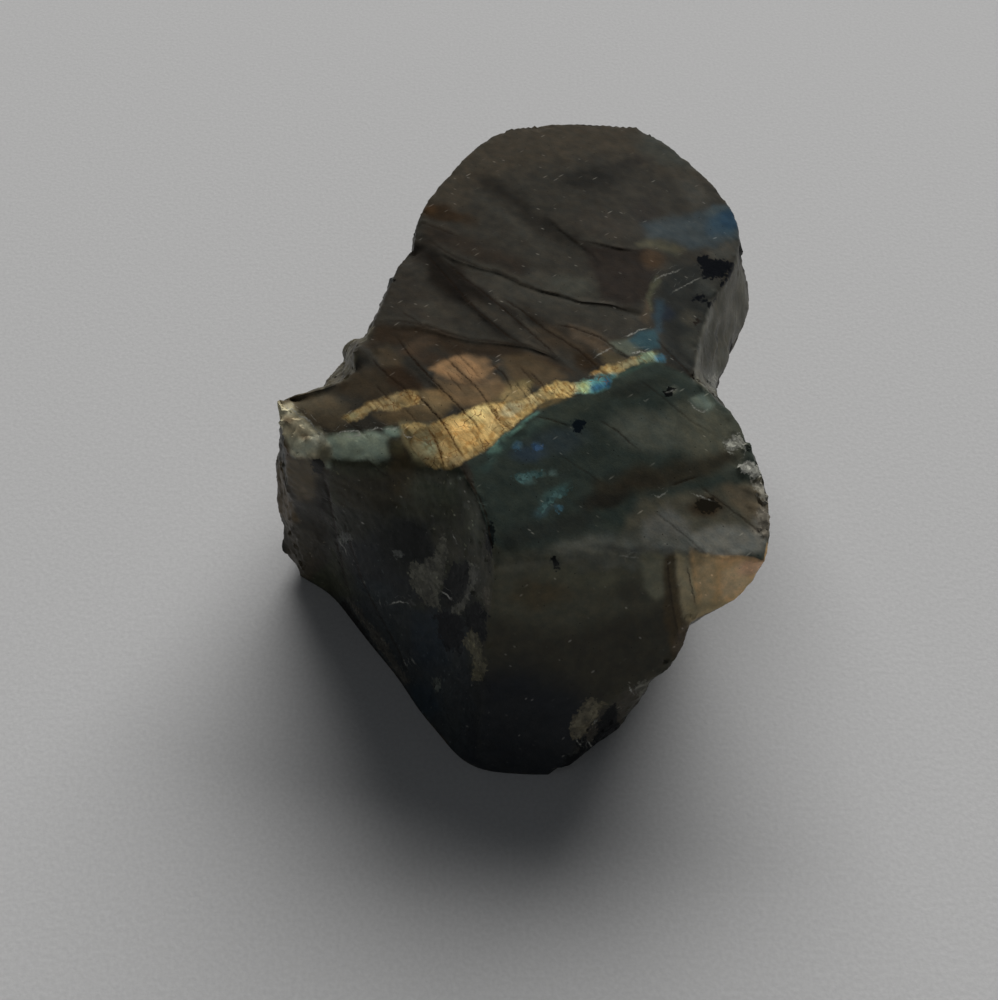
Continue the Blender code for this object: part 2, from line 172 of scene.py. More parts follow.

# Cleavage cracks: how dark the line is, how dark and wide the painted shade on its right hand
# is, and its pixels.
CRACKS = {
    "long upper": (0.4, 0.18, 9, ((421, 244), (430, 241), (440, 248), (455, 257), (480, 267),
     (500, 272), (520, 282), (540, 290), (560, 294), (580, 302), (610, 305), (635, 310), (652, 311))),
    "upper second": (0.6, 0.35, 9, ((424, 252), (445, 275), (465, 298), (478, 311), (490, 321),
     (510, 337), (526, 345), (544, 354))),
    "upper third": (0.55, 0.3, 8, ((446, 262), (463, 277), (484, 293), (500, 306), (516, 320),
     (534, 335), (551, 351), (566, 366))),
    "middle": (0.65, 0.35, 10, ((500, 297), (518, 308), (545, 329), (560, 338), (578, 350), (597, 367),
     (614, 377))),
    "main": (0.42, 0.12, 8, ((374, 322), (400, 321), (425, 325), (448, 333), (470, 339), (500, 342),
     (530, 346), (552, 355), (573, 371))),
    "bow": (0.85, 0.35, 6, ((397, 338), (404, 347), (412, 358), (424, 371), (438, 385), (448, 395),
     (458, 405), (463, 411), (470, 418), (476, 424), (481, 432), (487, 442))),
    "left bow": (0.65, 0.3, 6, ((372, 357), (378, 366), (392, 379), (402, 386), (412, 399),
     (417, 405))),
    "gold edge": (1.0, 0.4, 5, ((416, 393), (423, 400), (430, 408), (440, 419), (447, 429), (452, 438),
     (457, 447), (465, 459))),
    "pink fine": (0.7, 0.2, 4, ((447, 359), (467, 378), (476, 387), (486, 400), (490, 405), (496, 412),
     (499, 415), (510, 423))),
    "short a": (0.6, 0.3, 5, ((492, 364), (503, 373), (510, 385), (512, 392))),
    "short b": (0.6, 0.2, 4, ((516, 382), (524, 393), (530, 402), (534, 410))),
    "short c": (0.6, 0.2, 4, ((530, 372), (540, 382), (546, 391), (549, 395))),
    "far fold": (0.15, 0.25, 12, ((545, 215), (560, 229), (577, 242), (592, 254), (604, 268))),
    "far ledge": (0.15, 0.2, 11, ((574, 240), (600, 244), (620, 249), (648, 251))),
    "right": (0.7, 0.35, 6, ((556, 325), (572, 327), (600, 337), (614, 347), (624, 354), (634, 361))),
    "gold left": (0.9, 0.3, 4, ((427, 426), (433, 436), (438, 446), (441, 456), (444, 470))),
    "far left": (0.35, 0.2, 7, ((420, 222), (440, 229), (462, 238))),
    "tiny": (0.4, 0.2, 4, ((402, 312), (412, 318), (425, 326))),
    "ridge link": (0.6, 0.2, 4, ((536, 416), (555, 421), (570, 427))),
    "slope a": (0.5, 0.15, 5, ((600, 420), (618, 432), (634, 446), (640, 450))),
    "slope b": (0.8, 0.1, 3, ((672, 485), (684, 481), (698, 476))),
    "slope c": (0.5, 0.15, 5, ((700, 486), (722, 503), (745, 520), (764, 536))),
    "slope d": (0.4, 0.1, 5, ((655, 512), (672, 525), (690, 540), (706, 554))),
    "slope e": (0.35, 0.1, 4, ((640, 380), (662, 396), (690, 420), (716, 436))),
    "slope f": (0.3, 0.1, 4, ((560, 455), (580, 468), (604, 484))),
    "fan a": (0.5, 0.3, 7, ((668, 560), (669, 580), (673, 606), (679, 640))),
    "fan b": (0.6, 0.15, 4, ((687, 566), (691, 585), (696, 606))),
    "ridge tail": (0.5, 0.15, 5, ((655, 338), (668, 352), (684, 368), (700, 384))),
    "bevel end": (0.5, 0.1, 4, ((366, 458), (372, 464), (380, 472), (392, 478))),
    "slope edge": (0.8, 0.3, 8, ((322, 470), (328, 492), (334, 520), (338, 548), (344, 574),
     (352, 600))),
    "slope foot": (0.6, 0.2, 6, ((344, 520), (352, 548), (362, 580), (378, 612), (398, 650),
     (414, 684))),
    "slope split": (0.6, 0.2, 6, ((461, 466), (470, 482), (480, 498), (488, 520), (491, 545),
     (488, 572))),
}

# Fine breaks in the bright band: darkness and pixels.
FINE_CRACKS = (
    (0.8, ((487, 404), (493, 413), (498, 419), (503, 424))),
    (0.6, ((376, 385), (384, 394), (396, 406), (402, 412))),
    (0.5, ((366, 404), (371, 408), (375, 413))),
    (0.5, ((378, 400), (382, 405), (385, 409))),
    (0.6, ((509, 394), (502, 402), (512, 412))),
    (0.7, ((499, 421), (505, 425), (511, 428))),
    (0.6, ((527, 385), (533, 394), (541, 404))),
    (0.6, ((548, 384), (555, 393), (562, 399))),
    (0.6, ((556, 382), (561, 390), (572, 396), (578, 395))),
    (0.7, ((597, 368), (604, 373), (613, 377))),
    (0.5, ((340, 415), (350, 422), (360, 430), (370, 440))),
    (0.5, ((404, 408), (414, 418), (421, 428))),
    (0.5, ((446, 372), (456, 383), (464, 393))),
    (0.5, ((520, 367), (530, 378), (540, 386))),
    (0.4, ((468, 425), (474, 434), (480, 444))),
    (0.5, ((456, 352), (470, 366), (482, 380))),
)

# Edges painted white as painted highlights, and scratches that show white: strength and pixels.
WHITE_SCRATCHES_AND_HIGHLIGHTS = (
    (0.7, ((284, 405), (291, 409), (300, 416), (309, 420), (313, 426), (319, 433), (326, 438))),
    (0.6, ((336, 435), (341, 431), (350, 431), (358, 431), (361, 435), (350, 437), (340, 437))),
    (0.5, ((368, 431), (376, 428), (386, 429))),
    (0.6, ((385, 429), (391, 430), (397, 428))),
    (0.6, ((404, 435), (408, 438), (412, 437))),
    (0.22, ((654, 281), (662, 276), (671, 273), (681, 269))),
    (0.2, ((673, 292), (688, 284), (702, 277))),
    (0.35, ((626, 336), (634, 333), (640, 330), (647, 328))),
    (0.35, ((596, 356), (603, 352), (611, 348))),
    (0.5, ((632, 353), (640, 352), (648, 352))),
    (0.35, ((690, 403), (697, 410), (704, 412), (709, 408))),
    (0.4, ((667, 392), (671, 391), (674, 390))),
    (0.45, ((339, 538), (343, 545), (347, 555))),
    (0.7, ((391, 604), (398, 602), (405, 603))),
    (0.6, ((443, 592), (448, 597), (452, 600))),
    (0.5, ((453, 535), (457, 543))),
    (0.4, ((404, 659), (407, 667))),
    (0.4, ((411, 658), (416, 664))),
    (0.4, ((363, 580), (365, 584))),
    (0.4, ((380, 600), (381, 605))),
    (0.9, ((630, 688), (632, 692))),
    (0.5, ((577, 740), (581, 745))),
    (0.5, ((588, 742), (592, 747))),
    (0.4, ((594, 726), (598, 720))),
    (0.5, ((727, 443), (738, 438), (746, 448), (744, 455))),
    (0.5, ((740, 466), (750, 461), (762, 472))),
    (0.4, ((764, 480), (769, 496), (771, 514), (770, 534))),
    (0.4, ((694, 494), (702, 497), (712, 501))),
    (0.4, ((654, 495), (660, 497), (666, 493))),
    (0.35, ((620, 556), (630, 557), (640, 558))),
)

# Colours of the markings that have a name, and of the sides that are out of sight.
ASH = (43, 40, 33)
SLATE = (26, 28, 26)
# Pink, gold and teal are colours of the flash, painted reflections.
PAINTED_PINK_FLASH = (345, 210, 107)
PAINTED_GOLD_FLASH = (640, 450, 175)
PAINTED_TEAL_FLASH = (180, 310, 230)
MILK = (235, 238, 212)
# The amber is painted bright as light shining through the fan.
BACKLIT_AMBER = (790, 520, 250)
INK = (14, 17, 23)
PLAIN = (47, 47, 38)
PLAIN_SLATE = (24, 28, 27)
PLAIN_OLIVE = (82, 74, 50)
PLAIN_RUST = (60, 40, 23)
PLAIN_DARK = (20, 22, 20)
PLAIN_PALE = (88, 83, 62)

# What the material lays on by itself: tints that multiply, and colours, as shares of full light.
WHITE = (1.0, 1.0, 1.0, 1.0)
RUST_TINT = (0.62, 0.46, 0.30, 1.0)
COOL_TINT = (0.89, 0.92, 0.94, 1.0)
WARM_TINT = (1.10, 1.06, 1.01, 1.0)
# Painted glints: the tints that make flakes and scratches lighter, and the grey that scratches add.
FLAKE_GLINT_TINT = (2.7, 2.7, 2.6, 1.0)
SCRATCH_GLINT_TINT = (1.6, 1.55, 1.45, 1.0)
SCRATCH_GLINT_GREY = (0.10, 0.095, 0.085, 1.0)
CRAZE_BROWN = (0.17, 0.085, 0.03, 1.0)
CRACK_BLACK = (0.020, 0.012, 0.007, 1.0)
CRACK_RUST = (0.095, 0.045, 0.014, 1.0)
# Painted highlights: the white of highlit edges, which the white scratches share.
SCRATCH_AND_HIGHLIGHT_WHITE = (0.56, 0.56, 0.50, 1.0)
# Painted shade: the black in pits.
PIT_SHADE_BLACK = (0.010, 0.008, 0.006, 1.0)
PAPER_GREYS = ((0.570, 0.570, 0.575, 1.0), (0.615, 0.615, 0.620, 1.0))

# How the cleavage, the mottle and the two kinds of scratches painted as glints lie, in degrees
# about Z.
CLEAVAGE_TURN = 58.0
MOTTLE_TURN = 38.0
SCRATCH_GLINT_TURNS = (-38.0, 28.0)

# Lights: place and size in metres, power in watts, colour.
WINDOW = ((0.53, 2.91, 1.90), (3.7, 1.8), 176.0, (1.0, 0.99, 0.97))
GLINT = ((0.55, 1.5, 0.75), (0.30, 0.20), 0.5, (1.0, 1.0, 1.0))
ROOM = ((0.35, -1.3, 0.28), (1.2, 0.5), 1.2, (0.95, 0.98, 1.0))
LIGHT_AIM = (0.0, 0.0, 0.01)
SKY = (0.9, 0.95, 1.0, 1.0)
SKY_STRENGTH = 0.05
FLOOR_REACH = 1.2

# Markings in the order they are laid: what, colour, strength, how far the wobble moves it, and
# for an area its softness in pixels and its outline, for a spot its centre, half sizes and turn
# in degrees, and for a band its softness, its half width and its line.
BEVEL_BROWN = ("area", (74, 58, 31), 0.85, 1.6, 7, ((400, 438), (408, 452), (416, 470), (412, 500),
    (396, 496), (384, 482), (386, 462), (394, 446)))
MARKINGS = (
    # the top's far plane
    ("area", (64, 54, 40), 0.8, 1.5, 12, ((425, 205), (450, 165), (500, 118), (600, 110), (700, 160),
     (705, 200), (660, 168), (600, 152), (530, 168), (480, 185), (455, 215))),
    ("spot", (51, 54, 46), 0.9, 1.2, (668, 152), (36, 15), 25),
    ("spot", (63, 61, 52), 0.9, 1.2, (695, 192), (22, 12), 40),
    ("spot", (24, 23, 20), 0.9, 1.5, (592, 179), (32, 12), -5),
    ("spot", (28, 26, 23), 0.8, 1.5, (630, 163), (20, 7), -15),
    ("spot", (31, 28, 25), 0.7, 1.5, (646, 212), (17, 12), 10),
    ("spot", (52, 46, 38), 0.7, 1.5, (600, 225), (36, 14), 12),
    ("spot", (39, 25, 14), 0.95, 1.5, (442, 213), (34, 9), 12),
    ("spot", (60, 34, 16), 0.8, 1.0, (430, 209), (9, 5), 0),
    # a painted shade of a fold across the far plane
    ("band", (20, 18, 15), 0.8, 1.3, 7, 7, ((476, 177), (497, 188), (520, 203), (533, 218), (556, 232),
     (582, 243))),
    ("band", (60, 57, 47), 0.6, 1.3, 5, 4, ((470, 190), (490, 204), (510, 220), (530, 238),
     (552, 254))),
    ("area", (31, 25, 21), 0.95, 1.0, 5, ((584, 245), (615, 249), (648, 252), (657, 262), (652, 292),
     (634, 305), (604, 300), (594, 280), (590, 262))),
    ("spot", (72, 47, 28), 0.9, 1.0, (652, 259), (14, 9), 20),
    ("spot", (66, 66, 54), 0.95, 1.2, (571, 286), (26, 12), 12),
    ("spot", (68, 64, 52), 0.8, 1.2, (538, 279), (15, 9), 30),
    ("spot", (31, 30, 28), 0.8, 1.2, (518, 268), (18, 8), 15),
    ("area", (37, 29, 22), 0.85, 1.2, 8, ((424, 226), (455, 232), (490, 245), (530, 262), (520, 276),
     (490, 266), (455, 252), (424, 240))),
    ("area", (15, 12, 9), 0.9, 1.2, 6, ((418, 244), (436, 250), (458, 264), (480, 284), (490, 303),
     (474, 308), (448, 300), (428, 278))),
    ("band", (14, 12, 10), 0.65, 1.2, 6, 7, ((424, 246), (446, 272), (466, 296), (486, 317),
     (512, 340))),
    ("band", (62, 57, 46), 0.75, 1.2, 4, 4, ((446, 256), (472, 278), (500, 300), (522, 318),
     (548, 338))),
    ("band", (60, 53, 42), 0.7, 1.2, 4, 4, ((470, 300), (492, 314), (512, 328), (534, 344),
     (556, 358))),
    ("band", (16, 13, 11), 0.7, 1.2, 4, 3, ((452, 264), (480, 288), (506, 311), (528, 328))),
    ("area", (58, 55, 45), 0.7, 1.4, 6, ((470, 262), (510, 274), (556, 292), (604, 306), (640, 316),
     (612, 322), (570, 312), (530, 304), (496, 290))),
    ("band", (20, 16, 12), 0.7, 1.2, 5, 4, ((520, 306), (552, 330), (584, 350), (606, 368))),
    ("area", (64, 50, 36), 0.6, 1.4, 6, ((556, 322), (590, 330), (618, 342), (606, 350), (580, 340))),
    ("area", (42, 37, 30), 0.95, 1.2, 8, ((392, 276), (408, 266), (424, 284), (444, 304), (466, 322),
     (440, 322), (392, 314), (382, 302))),
    ("spot", (57, 52, 41), 0.7, 1.5, (436, 309), (20, 6), 15),
    ("area", (21, 18, 15), 0.8, 1.0, 5, ((404, 250), (424, 244), (430, 262), (412, 262))),
    ("area", (40, 28, 18), 0.9, 1.2, 5, ((376, 322), (425, 327), (470, 341), (520, 347), (556, 360),
     (574, 374), (545, 368), (500, 357), (455, 357), (420, 342), (388, 344), (366, 352))),
    ("spot", (71, 50, 33), 0.9, 1.0, (416, 347), (22, 7), -14),
    ("area", (52, 36, 24), 0.8, 1.0, 5, ((404, 350), (430, 351), (452, 358), (434, 368), (424, 366),
     (412, 357))),
    ("area", (79, 60, 38), 0.85, 1.0, 4, ((374, 352), (388, 344), (402, 358), (400, 372), (384, 366))),
    ("area", (35, 22, 13), 0.9, 1.2, 5, ((384, 368), (400, 366), (420, 384), (424, 394), (402, 394),
     (386, 384))),
    ("area", (52, 40, 26), 0.9, 1.2, 6, ((352, 372), (378, 368), (388, 382), (398, 394), (372, 402),
     (352, 396), (330, 392))),
    ("area", (120, 96, 62), 0.85, 1.5, 7, ((270, 392), (320, 392), (346, 404), (352, 416), (345, 431),
     (318, 428), (300, 412), (272, 408))),
    ("area", (90, 65, 38), 0.9, 1.0, 5, ((500, 357), (530, 352), (556, 368), (566, 378), (540, 388),
     (520, 384), (506, 376))),
    ("area", (155, 116, 60), 0.85, 1.0, 5, ((496, 388), (515, 378), (530, 386), (522, 396), (500, 402),
     (480, 410), (470, 404))),
    ("area", (67, 50, 33), 0.8, 1.2, 8, ((534, 328), (556, 330), (590, 346), (582, 352), (556, 350),
     (540, 342))),
    ("area", (116, 86, 58), 0.8, 1.2, 5, ((572, 327), (598, 336), (616, 350), (604, 352), (588, 344),
     (574, 334))),
    ("area", (37, 24, 13), 0.9, 1.0, 4, ((574, 352), (590, 354), (600, 366), (588, 372), (576, 366))),
    ("area", (110, 89, 52), 0.9, 1.0, 4, ((598, 350), (616, 354), (630, 360), (618, 368), (604, 362))),
    # the warm flash above the bright band, a painted reflection, and what the band sits in
    ("area", PAINTED_PINK_FLASH, 0.9, 2.2, 5, ((430, 370), (438, 365), (452, 361), (468, 358), (484, 360), (495, 366),
     (488, 374), (478, 378), (464, 382), (450, 379), (440, 376))),
    ("spot", (200, 130, 74), 0.7, 1.6, (484, 382), (26, 5), 16),
    ("spot", (300, 190, 100), 0.6, 1.6, (452, 369), (14, 5), 30),
    ("spot", (170, 115, 68), 0.6, 1.6, (478, 361), (16, 4), 35),
    ("band", (120, 80, 46), 0.7, 1.2, 3, 3, ((452, 362), (468, 380), (478, 392), (488, 406))),
    ("band", (130, 88, 50), 0.6, 1.2, 3, 3, ((476, 358), (490, 372), (502, 388))),
    ("area", (190, 128, 70), 0.9, 1.0, 5, ((436, 380), (456, 384), (480, 386), (500, 380), (498, 396),
     (480, 406), (462, 408), (448, 398))),
    ("area", (285, 190, 92), 0.9, 0.8, 4, ((422, 390), (440, 388), (450, 396), (458, 404), (444, 406),
     (430, 402))),
    ("area", (122, 88, 48), 0.9, 0.8, 4, ((388, 410), (404, 407), (430, 407), (448, 410), (440, 420),
     (412, 422), (388, 424), (372, 414))),
    ("area", (400, 340, 180), 0.9, 0.8, 5, ((400, 424), (430, 426), (444, 440), (446, 466), (430, 468),
     (416, 456), (404, 440))),
    ("area", (215, 155, 80), 0.8, 1.2, 4, ((392, 395), (412, 391), (424, 392), (440, 400), (452, 408),
     (430, 410), (410, 406), (396, 404))),
    ("spot", (340, 360, 230), 0.8, 1.0, (429, 446), (7, 8), 10),
    ("band", (200, 140, 65), 0.7, 1.2, 4, 4, ((404, 430), (412, 446), (418, 462))),
    ("area", (150, 112, 55), 0.9, 1.0, 4, ((536, 404), (560, 396), (574, 396), (566, 402), (548, 410),
     (538, 414))),
    ("area", (330, 245, 115), 0.9, 0.8, 4, ((500, 396), (506, 390), (516, 384), (528, 382), (530, 396),
     (520, 400), (504, 404))),
    ("area", (155, 128, 62), 0.8, 0.8, 4, ((516, 384), (522, 378), (534, 380), (530, 392))),
    ("area", (130, 148, 115), 0.8, 0.8, 4, ((608, 342), (630, 338), (640, 348), (634, 354),
     (618, 352))),
    ("area", (60, 105, 85), 0.9, 0.8, 5, ((612, 378), (632, 366), (652, 360), (662, 364), (640, 374),
     (616, 384))),
    ("spot", PAINTED_TEAL_FLASH, 0.9, 0.6, (480, 462), (10, 3.5), -4),
    # the rainbow edge on the right and the blue flash behind it, both painted reflections
    ("area", (40, 84, 100), 0.95, 0.8, 2.5, ((628, 340), (642, 331), (656, 328), (658, 348), (650, 351),
     (638, 348))),
    ("area", SLATE, 0.95, 1.2, 4, ((662, 280), (676, 262), (700, 264), (716, 292), (704, 330),
     (696, 368), (684, 372), (664, 358), (658, 320))),
    ("spot", (50, 51, 43), 0.8, 1.5, (692, 345), (14, 18), 0),
    ("spot", (62, 58, 45), 0.8, 1.5, (690, 318), (12, 10), 0),
    ("spot", (56, 60, 54), 0.7, 1.5, (706, 288), (12, 9), 0),
    ("spot", (20, 26, 36), 0.9, 1.2, (664, 313), (9, 9), 0),
    ("area", (100, 78, 54), 0.7, 1.4, 4, ((640, 316), (645, 300), (650, 298), (651, 314), (646, 322))),
    ("area", (92, 94, 62), 0.9, 1.4, 2.5, ((648, 302), (650, 284), (658, 275), (661, 279), (655, 292),
     (652, 312))),
    ("area", (34, 58, 75), 0.85, 1.2, 3, ((654, 318), (658, 300), (664, 302), (662, 330), (656, 332))),
    ("area", (55, 70, 76), 0.95, 1.0, 5, ((642, 224), (656, 219), (680, 214), (712, 208), (730, 204),
     (746, 212), (744, 240), (716, 246), (690, 248), (664, 240), (648, 238))),
    ("spot", (36, 70, 100), 0.9, 1.0, (724, 222), (20, 14), -20),
    ("spot", (24, 58, 100), 0.7, 0.8, (730, 219), (11, 9), -10),
    ("spot", (75, 100, 108), 0.7, 0.8, (716, 210), (12, 4), -15),
    ("area", (100, 96, 64), 0.8, 1.2, 4, ((636, 242), (650, 238), (666, 242), (684, 249), (676, 254),
     (656, 248), (640, 248))),
    ("area", (75, 73, 62), 0.9, 1.2, 4, ((708, 250), (724, 245), (744, 243), (748, 258), (734, 262),
     (712, 258))),
    # the dark facet in front of the ridge
    ("area", (41, 53, 45), 1.0, 0.0, 1.5, ((468, 458), (500, 437), (540, 410), (600, 386), (655, 362),
     (682, 372), (700, 384), (725, 400), (760, 440), (800, 500), (800, 590), (500, 590), (478, 500))),
    ("area", (55, 66, 51), 0.7, 1.5, 8, ((500, 440), (545, 412), (590, 394), (640, 372), (680, 378),
     (640, 392), (580, 414), (530, 432))),
    ("spot", (30, 35, 30), 0.8, 1.5, (636, 388), (34, 9), -14),
    ("spot", (48, 66, 74), 0.7, 1.5, (556, 442), (34, 14), -10),
    ("spot", (118, 128, 104), 0.85, 1.5, (652, 432), (42, 20), 10),
    ("spot", (140, 140, 104), 0.8, 1.5, (708, 436), (44, 30), 40),
    ("area", (45, 40, 28), 0.9, 1.5, 7, ((598, 480), (640, 466), (690, 460), (730, 448), (744, 456),
     (712, 474), (680, 486), (640, 494), (604, 506), (586, 512))),
    ("spot", (24, 23, 19), 0.85, 1.5, (606, 500), (26, 9), -10),
    ("spot", (36, 30, 21), 0.7, 1.5, (640, 482), (30, 7), -10),
    ("area", (105, 98, 72), 0.85, 1.5, 6, ((640, 500), (690, 492), (740, 486), (772, 500), (770, 540),
     (700, 548), (650, 552), (620, 545), (626, 520))),
    ("area", (160, 130, 88), 0.75, 1.5, 7, ((724, 486), (766, 480), (774, 520), (750, 520),
     (730, 506))),
    ("spot", (55, 38, 22), 0.95, 1.3, (706, 507), (18, 10), 5),
    ("area", (158, 160, 145), 0.8, 1.5, 6, ((644, 520), (668, 504), (690, 524), (700, 556),
     (640, 556))),
    ("area", MILK, 0.9, 1.2, 6, ((682, 540), (708, 528), (744, 526), (768, 536), (762, 552), (730, 560),
     (700, 562), (684, 556))),
    ("spot", (320, 290, 240), 0.7, 1.0, (762, 522), (10, 16), 10),
    ("area", (66, 72, 61), 0.8, 1.5, 8, ((540, 548), (580, 532), (640, 532), (650, 562), (560, 562))),
    ("area", (31, 35, 31), 0.8, 1.5, 7, ((498, 530), (540, 520), (590, 510), (600, 524), (560, 538),
     (520, 548), (500, 550))),
    # blue and teal flash on the dark facet, painted reflections
    ("spot", (90, 165, 205), 0.9, 0.6, (517, 446), (5, 3.5), -20),
    ("spot", (60, 130, 220), 0.9, 0.6, (537, 447), (6, 3.5), 10),
    ("spot", (44, 66, 90), 0.8, 1.2, (528, 455), (18, 7), 0),
    ("spot", (100, 170, 160), 0.85, 1.0, (524, 480), (9, 5), 20),
    ("spot", (85, 140, 130), 0.8, 1.0, (536, 473), (9, 3), 10),
    ("spot", (120, 190, 180), 0.85, 0.8, (552, 472), (4, 3), 0),
    ("spot", (66, 120, 112), 0.8, 1.2, (556, 493), (18, 7), -40),
    ("spot", (52, 90, 100), 0.8, 1.2, (543, 510), (12, 5), -30),
    ("spot", (70, 150, 190), 0.7, 0.8, (560, 508), (4, 3), 0),
    ("area", (165, 205, 170), 0.85, 1.0, 3, ((690, 398), (704, 393), (716, 404), (708, 412),
     (696, 406))),
    # a painted highlight by the small dark hole at the ridge's end
    ("spot", (160, 165, 130), 0.8, 1.0, (672, 391), (6, 4), -20),
    ("band", (150, 290, 240), 0.85, 1.0, 1.4, 1.8, ((486, 453), (500, 441), (516, 429), (526, 421),
     (537, 412))),
    ("band", (66, 110, 94), 0.5, 1.4, 4, 4, ((480, 470), (500, 450), (530, 430), (548, 420))),
    ("spot", (130, 240, 200), 0.7, 1.2, (496, 450), (8, 3.5), -25),
    ("spot", (26, 36, 32), 0.8, 1.4, (520, 434), (9, 4), -25),
    ("area", (104, 108, 86), 0.7, 2.2, 5, ((496, 562), (520, 552), (552, 547), (590, 544), (620, 540),
     (640, 566), (560, 570), (500, 570))),
    ("area", (118, 124, 108), 0.8, 1.8, 6, ((520, 562), (552, 550), (590, 536), (640, 538), (690, 534),
     (700, 564), (640, 570), (560, 570))),
    ("area", (160, 166, 150), 0.7, 1.8, 4, ((590, 566), (604, 550), (640, 546), (668, 544), (700, 550),
     (700, 566))),
    # the right shoulder
    ("area", (92, 88, 64), 1.0, 0.0, 2.0, ((694, 380), (696, 360), (706, 330), (713, 300), (729, 276),
     (737, 258), (748, 244), (780, 244), (780, 420), (727, 404))),
    ("spot", (118, 114, 88), 0.8, 1.0, (736, 308), (12, 26), 8),
    ("spot", (150, 155, 128), 0.8, 1.0, (714, 378), (12, 12), 0),
    ("spot", (125, 125, 100), 0.8, 1.0, (722, 356), (7, 7), 0),
    ("spot", (50, 50, 36), 0.8, 1.2, (709, 342), (5, 30), 8),
    # a pale band painted along the shoulder's left edge as a painted sheen
    ("band", (165, 165, 140), 0.7, 0.8, 2.0, 2.0, ((710, 303), (708, 320), (702, 340), (698, 356),
     (696, 380))),
    # the bevel under the top's left edge, the broken corner and the slab below it
    ("area", (400, 480, 375), 0.95, 0.8, 4.0, ((326, 438), (345, 434), (372, 433), (388, 436),
     (386, 466), (345, 471), (328, 468))),
    ("spot", (520, 600, 450), 0.6, 0.8, (352, 442), (22, 7), 5),
    ("spot", (270, 360, 290), 0.8, 0.8, (392, 431), (9, 5), 10),
    BEVEL_BROWN,
    ("spot", (110, 100, 55), 0.8, 1.0, (396, 446), (9, 9), 0),
    ("area", (330, 300, 160), 0.8, 1.0, 4, ((406, 436), (416, 440), (426, 462), (420, 474),
     (412, 460))),
    ("area", (720, 660, 460), 0.95, 1.0, 3, ((274, 402), (290, 404), (306, 420), (324, 436), (332, 446),
     (330, 458), (300, 458), (288, 448), (284, 436), (276, 420))),
    ("area", (600, 620, 470), 0.85, 1.0, 5, ((288, 440), (308, 438), (318, 448), (306, 456),
     (292, 454))),
    ("area", (440, 370, 240), 0.7, 1.5, 4, ((284, 412), (296, 416), (306, 428), (308, 438), (294, 440),
     (284, 430))),
    ("spot", (180, 120, 70), 0.7, 1.2, (290, 421), (5, 4), 30),
    ("spot", (200, 140, 80), 0.7, 1.2, (303, 437), (5, 4), 0),
    ("spot", (560, 560, 440), 0.8, 1.0, (318, 440), (7, 9), -40),
    ("area", (170, 160, 105), 0.9, 1.0, 4, ((318, 440), (332, 448), (331, 464), (318, 462))),
    ("area", (115, 80, 45), 0.9, 1.0, 3, ((282, 440), (289, 444), (291, 460), (284, 462))),
    ("area", (110, 86, 49), 0.9, 1.0, 4, ((272, 460), (300, 458), (318, 460), (326, 472), (324, 500),
     (300, 500), (286, 480), (272, 470))),
    ("area", (16, 15, 12), 0.85, 1.2, 4, ((308, 456), (322, 460), (326, 472), (330, 500), (322, 520),
     (314, 500), (316, 474))),
    ("area", (135, 102, 60), 0.9, 1.2, 4, ((270, 464), (282, 470), (290, 494), (300, 520), (290, 528),
     (276, 508))),
    ("area", (100, 76, 42), 0.8, 1.2, 5, ((284, 528), (300, 532), (316, 560), (312, 580), (294, 572))),
    ("spot", (160, 125, 80), 0.8, 0.8, (303, 490), (4, 3), 0),
    ("spot", (150, 115, 75), 0.8, 0.8, (306, 497), (3, 3), 30),
    ("area", (50, 44, 32), 0.8, 1.2, 5, ((290, 520), (312, 524), (326, 556), (320, 584), (300, 572),
     (286, 540))),
)

